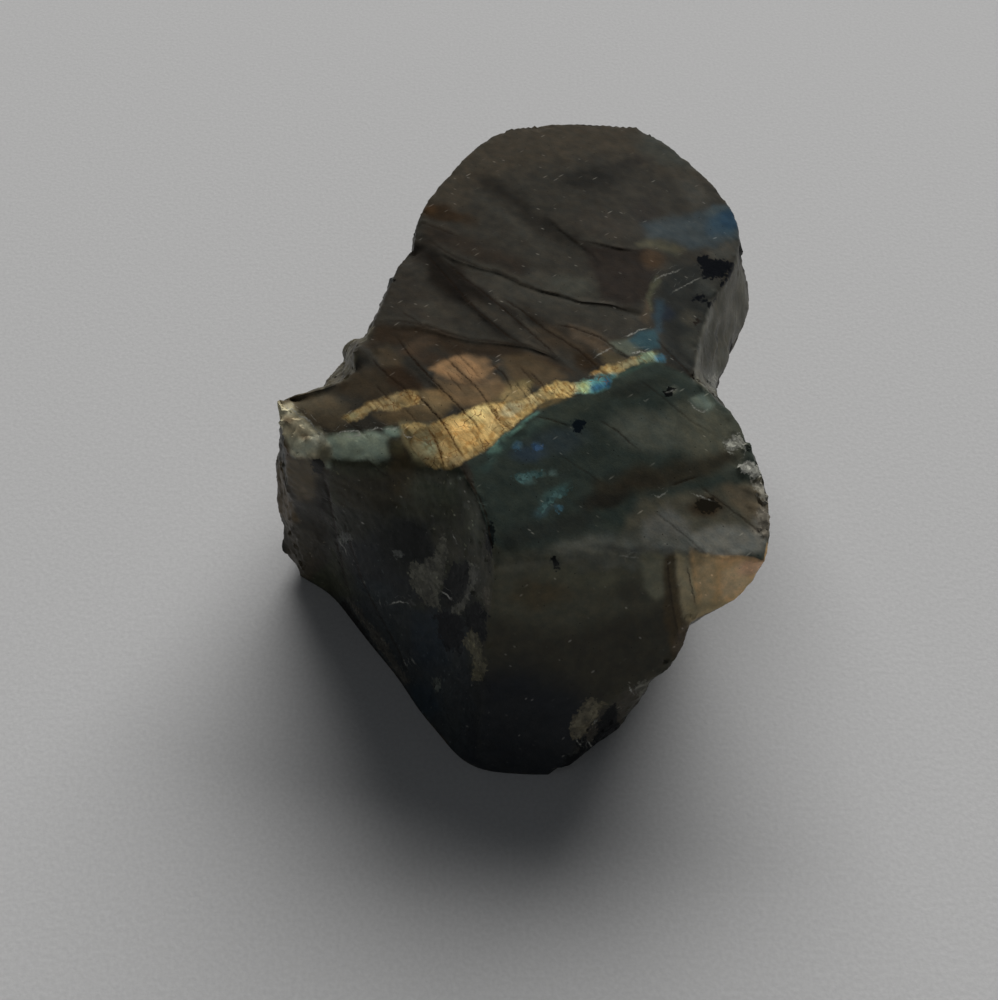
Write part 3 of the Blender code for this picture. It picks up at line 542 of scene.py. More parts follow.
# The same for what is turned to the front, laid where the stone turns down from its upper facets.
FRONT_MARKINGS = (
    # the long left slope, dark and streaked
    ("area", (52, 55, 36), 1.0, 0.5, 3.5, ((330, 450), (400, 450), (462, 452), (478, 500), (495, 559),
     (488, 620), (480, 700), (474, 790), (400, 790), (290, 600), (331, 560))),
    BEVEL_BROWN,
    ("area", (80, 80, 58), 0.9, 1.0, 4, ((418, 470), (444, 472), (446, 482), (430, 488), (414, 484))),
    ("spot", (170, 185, 150), 0.85, 0.8, (451, 484), (3.5, 7), 0),
    ("spot", (160, 185, 150), 0.8, 0.8, (461, 478), (3, 3), 0),
    ("spot", (160, 165, 140), 0.7, 0.8, (466, 506), (3, 4), -40),
    ("area", (22, 30, 24), 0.9, 1.0, 3, ((456, 462), (466, 462), (478, 478), (486, 496), (492, 516),
     (484, 512), (470, 490), (460, 474))),
    ("spot", (88, 98, 68), 0.9, 1.5, (436, 492), (30, 13), 10),
    ("spot", (110, 122, 92), 0.8, 1.5, (474, 520), (9, 26), -10),
    ("area", (46, 40, 26), 0.85, 1.5, 6, ((330, 474), (392, 476), (400, 506), (384, 520), (340, 510))),
    ("area", (32, 34, 28), 0.85, 1.5, 7, ((330, 505), (390, 512), (440, 520), (450, 560), (420, 580),
     (380, 590), (345, 575), (328, 545))),
    ("area", (26, 30, 34), 0.85, 1.5, 7, ((338, 540), (380, 536), (396, 566), (440, 600), (400, 604),
     (360, 590))),
    ("area", (15, 18, 17), 0.85, 2.0, 7, ((374, 536), (392, 520), (420, 518), (436, 532), (436, 556),
     (426, 566), (408, 572), (384, 566))),
    ("area", (14, 17, 18), 0.8, 2.0, 6, ((428, 608), (446, 584), (466, 560), (480, 570), (476, 596),
     (490, 612), (488, 648), (464, 660), (440, 640))),
    ("area", (66, 66, 48), 0.8, 1.5, 4, ((430, 528), (448, 522), (462, 540), (466, 560), (446, 564),
     (434, 546))),
    ("area", (86, 86, 66), 0.75, 1.5, 5, ((470, 540), (490, 548), (492, 600), (484, 640), (478, 600),
     (470, 570))),
    ("area", (34, 41, 46), 0.9, 1.5, 7, ((330, 600), (380, 596), (440, 612), (466, 622), (474, 690),
     (484, 770), (440, 770), (390, 700))),
    ("spot", (23, 36, 50), 0.8, 1.5, (430, 640), (20, 34), -15),
    ("spot", (20, 36, 50), 0.7, 1.5, (424, 700), (16, 22), -25),
    ("spot", (40, 52, 60), 0.6, 1.5, (376, 590), (26, 12), 10),
    ("band", (16, 20, 17), 0.7, 1.5, 3, 4, ((486, 500), (491, 524), (490, 552))),
    # the front face, from olive under the rim to near black at the foot
    ("area", (100, 97, 66), 1.0, 0.7, 3.0, ((493, 544), (702, 544), (691, 623), (684, 647), (670, 668),
     (640, 690), (600, 708), (585, 735), (566, 790), (474, 790), (480, 700), (488, 620))),
    ("area", (45, 41, 28), 0.9, 1.5, 14, ((484, 616), (560, 632), (620, 612), (690, 600), (690, 660),
     (640, 690), (600, 712), (560, 712), (480, 690))),
    ("area", (15, 18, 23), 0.95, 1.5, 20, ((470, 672), (520, 664), (580, 688), (604, 716), (590, 745),
     (570, 790), (460, 790))),
    ("spot", (130, 130, 86), 0.7, 1.5, (590, 578), (48, 13), 4),
    ("spot", (98, 74, 36), 0.7, 1.5, (540, 595), (30, 14), 0),
    ("spot", (50, 46, 34), 0.6, 1.5, (632, 592), (16, 14), 0),
    ("spot", INK, 0.9, 0.6, (556, 563), (4, 6), -30),
    ("spot", INK, 0.5, 0.6, (553, 556), (4, 3), 20),
    ("area", (134, 136, 104), 0.7, 2.2, 5, ((494, 546), (560, 546), (640, 546), (640, 562), (600, 572),
     (560, 566), (520, 572), (496, 564))),
    ("area", (180, 184, 150), 0.75, 1.8, 4, ((552, 548), (640, 546), (690, 546), (696, 562), (676, 562),
     (650, 564), (636, 572), (620, 566), (606, 570), (590, 560), (566, 564))),
    # the amber fan on the right, painted bright as light shining through its thin edge
    ("area", (230, 225, 155), 0.9, 0.8, 4, ((640, 548), (664, 548), (668, 590), (656, 600),
     (644, 588))),
    ("area", (440, 375, 235), 0.95, 0.8, 3, ((674, 546), (690, 562), (698, 612), (690, 622), (682, 618),
     (678, 590))),
    ("area", BACKLIT_AMBER, 0.95, 1.0, 4, ((690, 544), (730, 544), (790, 544), (790, 580), (740, 612),
     (700, 622), (696, 600))),
    ("area", (600, 460, 265), 0.8, 1.2, 5, ((694, 546), (712, 546), (716, 580), (712, 606),
     (700, 616))),
    ("area", (800, 520, 270), 0.7, 1.6, 5, ((716, 550), (740, 548), (748, 560), (730, 568),
     (718, 564))),
    ("area", (860, 640, 380), 0.8, 1.2, 5, ((722, 572), (744, 564), (752, 578), (738, 594),
     (722, 598))),
    ("spot", (900, 560, 360), 0.8, 1.0, (752, 567), (15, 7), -10),
    ("spot", (520, 290, 150), 0.7, 1.2, (762, 584), (10, 9), -40),
    ("spot", (480, 360, 200), 0.6, 1.2, (728, 608), (18, 5), -20),
    ("area", (360, 290, 160), 0.8, 0.8, 5, ((684, 604), (720, 598), (736, 606), (700, 628),
     (686, 630))),
    ("area", (90, 64, 30), 0.85, 0.8, 3, ((664, 548), (674, 548), (680, 600), (686, 640), (672, 660),
     (664, 610))),
    ("area", (130, 100, 70), 0.8, 0.8, 4, ((684, 622), (694, 622), (690, 640), (678, 658), (672, 650))),
    # crystals at the foot on the right
    ("area", (56, 50, 40), 1.0, 0.8, 3, ((604, 706), (620, 696), (645, 682), (664, 676), (670, 720),
     (600, 790), (566, 790), (584, 738))),
    ("area", (82, 78, 58), 0.85, 1.2, 4, ((598, 704), (618, 696), (622, 712), (606, 716))),
    ("area", (75, 68, 52), 0.85, 1.0, 3, ((618, 700), (628, 688), (640, 690), (643, 706), (632, 722),
     (620, 730))),
    # the brown lump behind the left edge
    ("area", (92, 82, 52), 0.95, 1.0, 3, ((314, 396), (326, 366), (340, 336), (372, 322), (380, 352),
     (356, 374), (338, 396))),
    ("spot", (140, 128, 82), 0.8, 1.6, (354, 364), (6, 10), 30),
    ("spot", (36, 30, 18), 0.8, 1.6, (346, 376), (5, 9), 50),
    ("spot", (34, 28, 18), 0.8, 1.6, (362, 350), (4, 9), 40),
    ("spot", (60, 48, 28), 0.7, 1.6, (332, 384), (8, 5), -30),
)

# The bright band, the gold flash painted as a reflection: its pieces' outlines, and the colours
# inside it in the order they are laid.
FLASH_OUTLINES = (
    ((342, 417), (352, 412), (360, 408), (367, 403), (378, 400), (390, 396), (398, 393), (406, 391),
     (416, 392), (421, 398), (418, 404), (404, 407), (396, 411), (388, 411), (381, 409), (372, 411),
     (366, 415), (358, 420), (349, 421)),
    ((428, 426), (438, 421), (451, 417), (458, 414), (464, 412), (472, 409), (480, 406), (488, 403),
     (499, 403), (506, 402), (514, 401), (524, 399), (538, 391), (548, 385), (558, 381), (570, 383),
     (580, 384), (578, 393), (566, 397), (556, 398), (546, 401), (537, 406), (532, 411), (524, 418),
     (517, 423), (509, 430), (502, 435), (497, 439), (492, 444), (482, 452), (470, 458), (464, 461),
     (458, 465), (450, 469), (444, 462), (440, 448), (434, 436)),
    ((590, 375), (597, 370), (606, 365), (616, 365), (626, 361), (636, 356), (646, 352), (655, 352),
     (666, 357), (664, 362), (650, 361), (636, 364), (624, 369), (614, 377), (604, 375), (598, 377)),
    ((402, 425), (418, 423), (430, 427), (440, 440), (446, 456), (450, 469), (432, 468), (420, 460),
     (411, 447), (405, 436)),
    ((578, 384), (584, 380), (596, 379), (606, 377), (612, 380), (609, 388), (598, 392), (586, 394),
     (580, 392)),
)
FLASH_MARKINGS = (
    ("area", (130, 350, 370), 1.0, 0.4, 3, ((574, 376), (584, 374), (600, 373), (618, 374), (616, 394),
     (598, 398), (574, 396))),
    ("area", (300, 350, 220), 1.0, 0.4, 3, ((636, 350), (660, 346), (672, 352), (668, 368),
     (636, 370))),
    ("spot", (80, 220, 330), 1.0, 0.4, (668, 359), (12, 10), 0),
    ("spot", (310, 240, 122), 1.0, 0.5, (380, 405), (46, 20), -20),
    ("spot", (420, 315, 150), 0.9, 0.8, (368, 407), (16, 7), -30),
    ("spot", (430, 280, 110), 0.8, 0.8, (410, 399), (9, 6), 0),
    ("spot", (400, 360, 190), 0.7, 0.8, (352, 417), (8, 4), -20),
    ("spot", (420, 290, 120), 1.0, 0.5, (444, 444), (20, 34), -25),
    ("spot", (270, 225, 120), 1.0, 0.8, (420, 446), (24, 22), 50),
    ("spot", (290, 310, 200), 0.85, 1.0, (430, 448), (7, 9), 10),
    ("spot", (170, 135, 70), 0.7, 1.0, (408, 438), (6, 12), -20),
    ("spot", (860, 660, 285), 0.95, 0.8, (478, 414), (18, 12), -10),
    ("spot", (860, 560, 215), 0.95, 0.8, (461, 430), (14, 12), 20),
    ("spot", (760, 500, 190), 0.8, 0.8, (474, 438), (14, 10), -35),
    ("spot", (500, 350, 150), 0.85, 0.8, (478, 450), (18, 6), -28),
    ("spot", (380, 290, 150), 0.8, 0.8, (456, 462), (12, 7), -10),
    ("spot", (700, 500, 215), 0.95, 0.8, (502, 420), (20, 16), -35),
    ("spot", (620, 550, 330), 0.85, 0.8, (512, 409), (12, 7), -25),
    ("spot", (500, 400, 200), 0.95, 0.8, (538, 397), (18, 8), -25),
    ("spot", (600, 450, 190), 0.9, 0.8, (560, 388), (22, 8), -5),
    ("spot", (440, 250, 80), 0.8, 0.6, (596, 373), (7, 5), -20),
    ("spot", (640, 490, 220), 0.9, 0.6, (608, 369), (8, 6), -20),
    ("spot", (300, 265, 150), 0.95, 0.6, (628, 363), (13, 8), -20),
    ("spot", (300, 400, 270), 0.95, 0.5, (647, 356), (11, 6), -5),
    ("spot", (80, 220, 330), 0.95, 0.4, (661, 358), (7, 6), 0),
    ("spot", (480, 620, 320), 0.95, 0.4, (584, 387), (7, 8), 0),
    ("spot", (140, 380, 400), 0.95, 0.4, (600, 382), (10, 7), -10),
    ("spot", (50, 170, 300), 0.9, 0.4, (597, 388), (8, 4), -10),
    ("spot", (40, 140, 260), 0.95, 0.4, (608, 384), (5, 7), 0),
)

# Black minerals, holes painted black as painted shade, and pale crusts and chips, all with sharp
# ragged edges.
DARK_PATCHES = (
    ((4, 5, 7), ((697, 259), (701, 254), (707, 255), (710, 260), (722, 259), (734, 263), (733, 269),
     (728, 272), (722, 277), (712, 279), (703, 278), (701, 268))),
    ((4, 5, 7), ((729, 267), (734, 268), (729, 278), (722, 287), (720, 285), (725, 276))),
    ((4, 5, 7), ((693, 299), (698, 294), (704, 294), (707, 298), (702, 301), (696, 301))),
    ((5, 6, 7), ((705, 300), (711, 302), (715, 299), (714, 304), (710, 307), (707, 304))),
    ((21, 17, 13), ((692, 322), (698, 319), (701, 322), (696, 325))),
    ((6, 10, 14), ((571, 424), (574, 419), (580, 420), (586, 421), (584, 428), (580, 434), (574, 432),
     (573, 428))),
    ((6, 7, 7), ((664, 392), (668, 387), (675, 389), (673, 394), (668, 398), (664, 396))),
    ((8, 9, 9), ((551, 560), (555, 556), (558, 560), (560, 568), (556, 570), (553, 566))),
    ((18, 15, 10), ((694, 502), (704, 497), (716, 500), (722, 506), (712, 513), (700, 512))),
    ((10, 12, 11), ((404, 524), (412, 521), (420, 526), (427, 530), (425, 537), (431, 545), (428, 551),
     (433, 557), (425, 558), (421, 565), (414, 559), (404, 562), (398, 556), (390, 557), (394, 549),
     (386, 545), (392, 539), (389, 531), (398, 532))),
    ((10, 12, 12), ((450, 566), (455, 562), (460, 566), (467, 561), (471, 568), (476, 572), (470, 579),
     (472, 584), (464, 585), (462, 594), (457, 598), (459, 604), (450, 606), (447, 598), (439, 596),
     (444, 588), (442, 580), (448, 576))),
    ((10, 12, 13), ((470, 606), (476, 602), (484, 604), (482, 611), (489, 616), (484, 624), (487, 632),
     (483, 643), (477, 636), (470, 637), (468, 628), (460, 624), (466, 617), (463, 610))),
    ((10, 12, 15), ((442, 608), (449, 613), (455, 611), (460, 619), (466, 622), (461, 630), (467, 640),
     (460, 645), (461, 654), (452, 648), (446, 651), (443, 640), (436, 634), (439, 624), (432, 614),
     (438, 614))),
    ((8, 11, 11), ((488, 526), (493, 520), (495, 540), (491, 556), (486, 550))),
    ((7, 8, 9), ((607, 710), (612, 704), (617, 702), (618, 712), (619, 728), (613, 739), (604, 750),
     (590, 760), (574, 768), (562, 768), (566, 758), (580, 752), (576, 738), (586, 736), (590, 742),
     (597, 736), (598, 724))),
    ((14, 13, 12), ((336, 604), (346, 600), (358, 618), (372, 642), (386, 664), (400, 684), (404, 700),
     (390, 690), (360, 650))),
    ((15, 14, 12), ((310, 462), (318, 458), (325, 464), (323, 474), (314, 474))),
)
PALE_PATCHES = (
    ((94, 93, 68), ((444, 534), (447, 545), (447, 560), (443, 570), (445, 580), (440, 588), (437, 595),
     (440, 602), (442, 612), (432, 606), (424, 602), (418, 594), (412, 588), (410, 578), (408, 566),
     (412, 560), (420, 565), (424, 561), (432, 558), (437, 548), (440, 538))),
    ((98, 98, 76), ((470, 561), (475, 565), (478, 580), (474, 590), (467, 604), (463, 612), (455, 615),
     (450, 611), (455, 604), (461, 601), (466, 592), (469, 582))),
    ((118, 108, 66), ((468, 633), (472, 629), (478, 634), (480, 645), (484, 656), (488, 666),
     (485, 676), (478, 682), (470, 679), (474, 668), (472, 655), (466, 648), (462, 641))),
    ((110, 98, 66), ((484, 590), (488, 588), (491, 606), (487, 608), (484, 600))),
    ((85, 92, 82), ((340, 536), (344, 531), (350, 534), (350, 541), (345, 544), (340, 541))),
    ((80, 86, 78), ((393, 552), (398, 549), (404, 552), (403, 557), (397, 558))),
    ((60, 64, 60), ((406, 602), (411, 600), (414, 604), (410, 608))),
    ((82, 76, 62), ((346, 597), (352, 600), (362, 612), (370, 624), (378, 632), (386, 642), (392, 656),
     (402, 670), (410, 681), (406, 685), (396, 674), (386, 658), (376, 644), (366, 628), (356, 614))),
    ((82, 92, 80), ((432, 679), (440, 677), (442, 688), (436, 691), (432, 687))),
    ((135, 118, 74), ((584, 702), (591, 696), (598, 702), (607, 704), (600, 711), (595, 722),
     (588, 732), (580, 738), (571, 738), (570, 728), (573, 717), (582, 709))),
    ((130, 125, 96), ((636, 687), (642, 682), (650, 680), (650, 692), (643, 703), (638, 698))),
    # blue and teal flash with sharp edges, painted reflections
    ((68, 128, 124), ((512, 476), (522, 474), (536, 471), (548, 472), (540, 476), (530, 480),
     (520, 484))),
    ((64, 120, 116), ((572, 487), (566, 494), (556, 500), (546, 510), (536, 514), (542, 504),
     (552, 494), (562, 488))),
    ((52, 105, 145), ((512, 444), (519, 443), (521, 449), (514, 450))),
    ((44, 88, 160), ((532, 445), (541, 444), (543, 449), (534, 451))),
    ((70, 150, 190), ((557, 506), (563, 505), (562, 511), (557, 512))),
    ((300, 300, 255), ((724, 442), (733, 436), (741, 433), (746, 446), (738, 447), (733, 454),
     (727, 449))),
    ((330, 330, 290), ((738, 466), (746, 461), (756, 464), (762, 474), (755, 479), (748, 474),
     (741, 471))),
    ((260, 245, 200), ((752, 482), (762, 480), (770, 492), (770, 504), (763, 502), (757, 494))),
    ((250, 225, 180), ((756, 512), (765, 508), (772, 516), (770, 536), (763, 540), (760, 526))),
    ((170, 168, 140), ((716, 372), (708, 376), (706, 386), (716, 392), (722, 384))),
)

# Where the stone is rougher, calmer or more worn than the rest.
CRYSTALS = ((596, 704), (620, 694), (636, 684), (652, 676), (654, 700), (620, 745), (566, 790),
    (560, 762))
BEVEL = ((318, 425), (424, 425), (430, 476), (318, 476))
LEFT_SLOPE = ((330, 466), (457, 466), (495, 559), (480, 700), (474, 790), (400, 790), (290, 600))
LUMP = ((316, 396), (328, 366), (342, 338), (372, 322), (380, 352), (356, 374), (338, 394))
LUMP_TOP = (355, 350)
SHOULDER = ((694, 380), (706, 330), (713, 300), (729, 276), (737, 250), (770, 240), (790, 300),
    (770, 400), (727, 404))
WORN_EDGES = (
    ((330, 467), (400, 470), (460, 468)),
    ((496, 556), (560, 557), (640, 557), (704, 556)),
)
CHIPPED = (
    ((266, 395), (282, 398), (284, 440), (286, 470), (296, 520), (312, 580), (280, 584), (266, 470)),
    ((324, 578), (346, 604), (400, 684), (470, 764), (452, 774), (380, 690), (324, 606)),
    ((682, 612), (704, 612), (704, 640), (684, 668), (655, 692), (642, 684), (668, 655)),
    ((276, 402), (290, 402), (318, 430), (330, 446), (320, 460), (288, 456), (280, 430)),
    ((722, 436), (744, 430), (775, 470), (778, 540), (758, 542), (744, 490)),
)

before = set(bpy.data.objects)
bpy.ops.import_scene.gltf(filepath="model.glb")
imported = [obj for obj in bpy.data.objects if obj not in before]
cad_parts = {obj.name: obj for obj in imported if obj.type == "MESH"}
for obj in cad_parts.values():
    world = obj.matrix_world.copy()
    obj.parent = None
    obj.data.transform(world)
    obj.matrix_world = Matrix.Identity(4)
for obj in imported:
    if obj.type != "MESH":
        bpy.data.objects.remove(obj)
cad_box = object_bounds()
noise.seed_set(SEED)


def smoothstep(low, high, value):
    t = np.clip((value - low) / (high - low), 0.0, 1.0)
    return t * t * (3.0 - 2.0 * t)


def bell(distance, width):
    """1 where the distance is nothing, falling away on both sides of it."""
    return np.exp(-((distance / width) ** 2))


def taper(share, first, last):
    """1 along a line, falling to 0 within these shares of its two ends."""
    return smoothstep(0.0, first, share) * smoothstep(0.0, last, 1.0 - share)


def rgb(colour):
    """A colour, or a list of them, from thousandths."""
    return np.array(colour) / 1000.0


def laid(tone, colour, mask):
    """The tones with this colour over them as far as the mask says."""
    return tone + (colour - tone) * mask[:, None]


def camera_place():
    back = DISTANCE * math.cos(ELEVATION)
    up = DISTANCE * math.sin(ELEVATION)
    return np.array((TARGET[0], TARGET[1] - back, TARGET[2] + up))


def to_pixels(points):
    """Where the photograph's camera sees these points."""
    off = points - np.array(TARGET)
    sin, cos = math.sin(ELEVATION), math.cos(ELEVATION)
    depth = DISTANCE + off[:, 1] * cos - off[:, 2] * sin
    scale = LENS / SENSOR * PIXELS_HIGH / depth
    right = off[:, 0] * scale
    up = (off[:, 1] * sin + off[:, 2] * cos) * scale
    return np.stack((CENTRE_PX[0] + right, CENTRE_PX[1] - up), axis=1)


def facing(points, normals):
    """How squarely each point faces the photograph's camera, from -1 to 1."""
    to_camera = camera_place() - points
    to_camera /= np.linalg.norm(to_camera, axis=1)[:, None]
    return (normals * to_camera).sum(axis=1)


def along_run(px, start, end):
    """(nearest share along a straight run, what is left from there to each pixel)."""
    run = end - start
    off = px - start
    t = np.clip(off @ run / (run @ run), 0.0, 1.0)
    return t, off - t[:, None] * run


def line_distance(px, line):
    """(distance, distance with the right hand positive, share along) to a line of pixels."""
    line = np.array(line, float)
    runs = np.diff(line, axis=0)
    lengths = np.linalg.norm(runs, axis=1)
    starts = np.concatenate(([0.0], np.cumsum(lengths)))
    best = np.full(len(px), np.inf)
    signed = np.zeros(len(px))
    share = np.zeros(len(px))
    for i, run in enumerate(runs):
        t, away = along_run(px, line[i], line[i + 1])
        distance = np.linalg.norm(away, axis=1)
        # Pixels count downward, so a positive cross product is the right hand.
        side = np.where(run[0] * away[:, 1] - run[1] * away[:, 0] < 0, -1.0, 1.0)
        nearer = distance < best
        best = np.where(nearer, distance, best)
        signed = np.where(nearer, distance * side, signed)
        share = np.where(nearer, (starts[i] + t * lengths[i]) / starts[-1], share)
    return best, signed, share


def depth_inside(px, outline):
    """Distance inside a closed outline of pixels, negative outside it."""
    outline = np.array(outline, float)
    inside = np.zeros(len(px), bool)
    best = np.full(len(px), np.inf)
    for start, end in zip(outline, np.roll(outline, -1, axis=0)):
        _, away = along_run(px, start, end)
        best = np.minimum(best, np.linalg.norm(away, axis=1))
        if end[1] != start[1]:
            crosses = (start[1] > px[:, 1]) != (end[1] > px[:, 1])
            at = start[0] + (px[:, 1] - start[1]) / (end[1] - start[1]) * (end[0] - start[0])
            inside ^= crosses & (px[:, 0] < at)
    return np.where(inside, best, -best)


def area_mask(px, soft, outline):
    return smoothstep(-soft, soft, depth_inside(px, outline))


def in_reach(px, line, reach):
    """Which pixels lie in the box round this line, widened by the reach."""
    line = np.array(line, float)
    return ((px > line.min(axis=0) - reach) & (px < line.max(axis=0) + reach)).all(axis=1)


CRACK_LINES = [(dark, line) for dark, _, _, line in CRACKS.values()] + list(FINE_CRACKS)


def nearest_line(px, listed, reach):
    """(signed distance, strength) of the nearest of these lines, as far as it reaches."""
    nearest = np.full(len(px), reach)
    signed = np.full(len(px), reach)
    strength = np.zeros(len(px))
    for given, line in listed:
        close = np.flatnonzero(in_reach(px, line, reach))
        distance, side, share = line_distance(px[close], line)
        won = distance < nearest[close]
        nearest[close[won]] = distance[won]
        signed[close[won]] = side[won]
        fading = CRACK_LEAST + (1.0 - CRACK_LEAST) * taper(share, *CRACK_TAPER)
        strength[close[won]] = (given * fading)[won]
    return signed, strength * smoothstep(reach, reach * 0.6, nearest)


def packed_mesh():
    """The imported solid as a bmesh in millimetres, with its seams closed."""
    bm = bmesh.new()
    bm.from_mesh(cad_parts[NODE].data)
    bmesh.ops.scale(bm, vec=(1 / MM, 1 / MM, 1 / MM), verts=bm.verts)
    bmesh.ops.remove_doubles(bm, verts=bm.verts, dist=1e-4)
    bmesh.ops.triangulate(bm, faces=bm.faces)
    return bm


def points_and_ends(bm):
    """The mesh's points, and the numbers of the two points at each edge's ends."""
    bm.normal_update()
    bm.verts.index_update()
    points = np.array([v.co[:] for v in bm.verts])
    ends = np.array([(e.verts[0].index, e.verts[1].index) for e in bm.edges])
    return points, ends


def refine(bm):
    """Cuts long edges in half until each is as short as its place asks for."""
    for _ in range(REFINE_ROUNDS):
        points, ends = points_and_ends(bm)
        normals = np.array([v.normal[:] for v in bm.verts])
        length = np.linalg.norm(points[ends[:, 0]] - points[ends[:, 1]], axis=1)
        seen = facing(points, normals)[ends].max(axis=1) > SEEN_FROM
        wanted = np.where(seen, SEEN_EDGE, HIDDEN_EDGE)
        middles = to_pixels(points[ends].mean(axis=1))
        from_crack, _ = nearest_line(middles, CRACK_LINES, LINE_BAND_PX)
        wanted[seen & (np.abs(from_crack) < LINE_BAND_PX)] = LINE_EDGE
        chosen = [edge for edge, cut in zip(bm.edges, length > wanted) if cut]
        if not chosen:
            break
        bmesh.ops.subdivide_edges(bm, edges=chosen, cuts=1, use_single_edge=True)
        many_sided = [face for face in bm.faces if len(face.verts) > 3]
        bmesh.ops.triangulate(bm, faces=many_sided)
    return bm


def sums(owners, values, count):
    """Adds up the rows of values by the point that owns each."""
    return np.stack([np.bincount(owners, column, count) for column in values.T], axis=1)


def relax(points, ends, crease, rounds):
    """The points, evened out. Creases keep their line and only relax along it."""
    points = points.copy()
    count = len(points)
    held = np.bincount(ends[crease].ravel(), minlength=count)
    near, far = ends.T
    pulls = []
    for end in (near, far):
        free = held[end] == 0
        follows = crease & (held[end] == 2)
        pulls.append((free | follows).astype(float)[:, None])
    weight = sums(near, pulls[0], count) + sums(far, pulls[1], count)
    moving = weight[:, 0] > 0
    for _ in range(rounds):
        total = sums(near, points[far] * pulls[0], count) + sums(far, points[near] * pulls[1], count)
        points[moving] += RELAX_SHARE * (total[moving] / weight[moving] - points[moving])
    return points


def vertex_normals(points, tris):
    corners = points[tris]
    face = np.cross(corners[:, 1] - corners[:, 0], corners[:, 2] - corners[:, 0])
    total = sum(sums(owners, face, len(points)) for owners in tris.T)
    return total / np.maximum(np.linalg.norm(total, axis=1), 1e-12)[:, None]


def grain(points, depth, size, shift, octaves=1):
    """Seeded noise of about this depth both ways, with features of about this size."""
    offset = Vector((shift, -shift, shift * 0.5))
    places = [Vector(p) / size + offset for p in points]
    if octaves == 1:
        return depth * np.array([noise.noise(p) for p in places])
    return depth * np.array([noise.fractal(p, *FRACTAL, octaves) for p in places])


def facets(points, depth, size, shift):
    """Small planes at random tilts, as broken stone has, of about half this depth both ways."""
    offset = Vector((shift, shift * 0.7, -shift))
    made = np.empty(len(points))
    for i, point in enumerate(points):
        place = Vector(point) / size + offset
        centre = noise.voronoi(place)[1][0]
        made[i] = (place - centre).dot(noise.noise_vector(centre * TILT_SPREAD))
    return depth * made


def crack_shade(px):
    """How much light each long crack's sunken side and raised side keep."""
    light = np.ones(len(px))
    for _, shade_dark, shade_wide, line in CRACKS.values():
        near = in_reach(px, line, shade_wide * 2.0)
        _, signed, share = line_distance(px[near], line)
        ends = taper(share, *SHADE_TAPER)
        fade = np.exp(-np.maximum(signed, 0.0) / shade_wide * SHADE_FADE)
        shade = smoothstep(*SHADE_START_PX, signed) * fade
        lift = bell(signed + LIFT_OFFSET_PX, LIFT_WIDTH_PX)
        light[near] *= (1.0 - shade_dark * shade * ends) * (1.0 + LIFT * lift * ends)
    return light


def paint(tone, px, wobble, markings):
    """Lays markings over the colours, as the photograph's camera sees them."""
    for kind, colour, strength, loose, *place in markings:
        moved = px + loose * wobble
        if kind == "area":
            soft, outline = place
            near = in_reach(moved, outline, soft)
            mask = area_mask(moved[near], soft, outline)
        elif kind == "spot":
            centre, half, turn = place
            off = moved - np.array(centre)
            near = np.linalg.norm(off, axis=1) < SPOT_REACH * max(half)
            right, down = off[near].T
            sin, cos = math.sin(math.radians(turn)), math.cos(math.radians(turn))
            along = (right * cos + down * sin) / half[0]
            across = (down * cos - right * sin) / half[1]
            mask = smoothstep(*SPOT_EDGE, np.hypot(along, across))
        else:
            soft, wide, line = place
            near = in_reach(moved, line, wide + soft)
            distance, _, share = line_distance(moved[near], line)
            mask = smoothstep(wide + soft, max(wide - soft, 0.0), distance)
            mask *= BAND_LEAST + (1.0 - BAND_LEAST) * taper(share, *BAND_TAPER)
        tone[near] = laid(tone[near], rgb(colour), mask * strength)
    return tone


def edge_share(px, outlines):
    """0.5 on the nearest outline, rising to 1 inside it and falling to 0 outside it."""
    depth = np.full(len(px), -EDGE_REACH_PX)
    owner = np.zeros(len(px), int)
    for i, outline in enumerate(outlines):
        near = np.flatnonzero(in_reach(px, outline, EDGE_REACH_PX))
        inside = depth_inside(px[near], outline)
        deeper = inside > depth[near]
        depth[near[deeper]] = inside[deeper]
        owner[near[deeper]] = i
    return np.clip(0.5 + 0.5 * depth / EDGE_REACH_PX, 0.0, 1.0), owner


def patches(points, px, seen, listed, clouds, level, plain_colour):
    """Colour and edge share of sharp patches: the listed ones where the photograph's camera sees,
    and elsewhere those that rise above this level of the clouds, in their plain colour."""
    share, owner = edge_share(px, [outline for _, outline in listed])
    colours = rgb([colour for colour, _ in listed])[owner]
    colours = laid(colours, rgb(plain_colour), 1.0 - seen)
    plain_share = np.clip(0.5 + CLOUD_EDGE * (grain(points, *clouds) - level), 0.0, 1.0)
    return np.column_stack((colours, share * seen + plain_share * (1.0 - seen)))


def plain_stone(points):
    """Colour of the sides that the photograph doesn't show."""
    broad = grain(points, *BROAD_CLOUDS)
    fine = grain(points, *FINE_CLOUDS)
    rusty = grain(points, *RUST_CLOUDS)
    tone = np.tile(rgb(PLAIN), (len(points), 1))
    tone = laid(tone, rgb(PLAIN_SLATE), smoothstep(0.05, 0.60, broad))
    tone = laid(tone, rgb(PLAIN_OLIVE), smoothstep(0.10, 0.70, -broad + 0.3 * fine))
    tone = laid(tone, rgb(PLAIN_RUST), 0.7 * smoothstep(0.20, 0.65, rusty))
    return tone * (1.0 + 0.35 * fine)[:, None]


